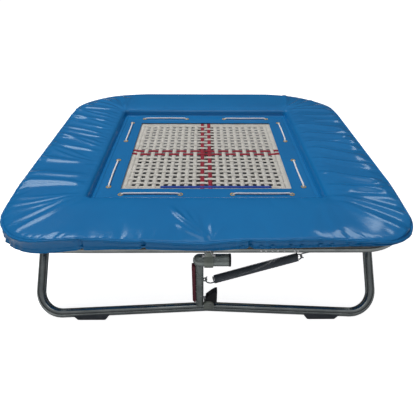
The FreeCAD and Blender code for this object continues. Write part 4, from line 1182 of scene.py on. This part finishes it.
def buildEyelets():
    bm = bmesh.new()
    verts = [bm.verts.new((reach, 0, eyelet["floor"] + rise)) for reach, rise in eyelet["profile"]]
    edges = [bm.edges.new(pair) for pair in zip(verts, verts[1:] + verts[:1])]
    bmesh.ops.spin(bm, geom=verts + edges, cent=(0, 0, 0), axis=(0, 0, 1), dvec=(0, 0, 0),
                   angle=math.tau, steps=eyelet["steps"], use_merge=True)
    bmesh.ops.recalc_face_normals(bm, faces=bm.faces)
    near, far = lacing["ends"]
    repeatTurned(bm, [(quarter * math.pi / 2, (lacing["line"], offset, 0))
                      for quarter in range(4) for offset in (-far, -near, near, far)])
    eyelets = keepPiece("eyelets", bm, ("brass",), "frame")
    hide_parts("pad_eyelets")


buildLacing()
buildEyelets()
print("lacing ready")


tie = {
    "reach": 0.585,
    "height": 0.322,
    "bend": 0.0186,
    "swell": 0.34,  # how much wider the loop hangs below the tube
    "swellOver": (-0.004, 0.009),
    "cord": 0.0033,
    "feet": (-0.014, 0.024),
    "apex": 0.005,
    "pull": 0.85,  # how far each loop leans to the apex
    "meets": (0.304, 0.327),
    "dots": (0.150, 0.163, 0.181, 0.196, 0.214, 0.243, 0.252),  # where the hem's elastic peeps out
    "dotPlace": (-0.6105, 0.3305),
    "dotRun": (-0.0022, 0.0026, -0.0012),  # its two ends along the rail, and its fall
    "dotRadius": 0.0018,
}


# Loops of cord round the frame tube, leaning together under the skirt.
def buildTies():
    bm = bmesh.new()
    for foot in tie["feet"]:
        before = set(bm.verts)
        verts = bmesh.ops.create_circle(bm, segments=10, radius=tie["cord"])["verts"]
        turnAll(bm, verts, math.pi / 2, "Y")
        turnAll(bm, verts, math.pi / 2, "Z")
        bmesh.ops.translate(bm, verts=verts, vec=(0, 0, tie["bend"]))
        bmesh.ops.spin(bm, geom=verts + linkedEdges(verts), cent=(0, 0, 0), axis=(0, 1, 0),
                       dvec=(0, 0, 0), angle=math.tau, steps=36, use_merge=True)
        made = [vert for vert in bm.verts if vert not in before]
        bmesh.ops.translate(bm, verts=made, vec=(tie["reach"], foot, tie["height"]))
        for vert in made:
            share = float(between(np.float64(vert.co.z), *tie["meets"]))
            vert.co.y += (tie["apex"] - foot) * share * tie["pull"]
            drop = tie["height"] - vert.co.z
            swell = tie["swell"] * float(between(np.float64(drop), *tie["swellOver"]))
            vert.co.z -= drop * swell
            vert.co.x += (vert.co.x - tie["reach"]) * swell
    bmesh.ops.recalc_face_normals(bm, faces=bm.faces)
    repeatTurned(bm, [(quarter * math.pi / 2, (0, 0, 0)) for quarter in range(4)])
    y, z = tie["dotPlace"]
    left, right, fall = tie["dotRun"]
    for place in tie["dots"]:
        addRod(bm, (place + left, y, z), (place + right, y, z + fall), tie["dotRadius"], 8)
    ties = keepPiece("skirtTies", bm, ("cord",), "frame")
    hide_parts("frame_ties")


buildTies()
print("ties ready")


foot = {
    "place": 0.379,
    "reach": 0.5545,
    "top": 0.064,
    "base": 0.046,
    "half": 0.0175,
    "rise": 0.027,
    "round": 0.006,
}


def buildFeet():
    for end, angle in ends.items():
        bm = bmesh.new()
        for side in (-1, 1):
            for vert in bmesh.ops.create_cube(bm, size=2.0)["verts"]:
                upper = vert.co.z > 0
                x = side * foot["place"] + vert.co.x * foot["top" if upper else "base"]
                y = vert.co.y * foot["half"] - foot["reach"]
                vert.co = (x, y, foot["rise"] if upper else 0.0)
        bmesh.ops.bevel(bm, geom=list(bm.edges), offset=foot["round"], offset_type="OFFSET", segments=3,
                        profile=0.5, affect="EDGES", material=-1)
        turnAll(bm, bm.verts, angle, "Z")
        feet = keepPiece(f"{end}RubberFeet", bm, ("rubber",), f"{end}_leg")
        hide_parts(f"{end}_feet")


buildFeet()
print("feet ready")


# The finish of each CAD piece that stays; {end} stands for the front and the rear one.
cadFinishes = {
    "tube": ["left_rail", "right_rail", "{end}_rail", "{end}_left_corner", "{end}_right_corner",
             "{end}_leg_left_half", "{end}_leg_right_half", "{end}_hinge_brackets"],
    "bracket": ["{end}_strut_cross_tube", "{end}_strut_post"],
    "paleBracket": ["{end}_strut_collar", "{end}_latch_housing"],
    "steel": ["corner_sleeves", "spring_staples", "hinge_bolts", "hinge_nuts", "bed_rods",
              "{end}_latch_pin", "{end}_strut_catch_pin", "tension_links", "tension_anchors"],
    "black": ["{end}_strut_end_cap", "{end}_latch_lever", "{end}_leg_plugs"],
    "nylon": ["{end}_leg_bushes"],
    "red": ["{end}_strut_side_bar"],
}

for finishName, names in cadFinishes.items():
    for name in names:
        for nodeName in sorted({name.format(end=end) for end in ends}):
            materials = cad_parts[nodeName].data.materials
            materials.clear()
            materials.append(finishes[finishName])
print("finishes ready")
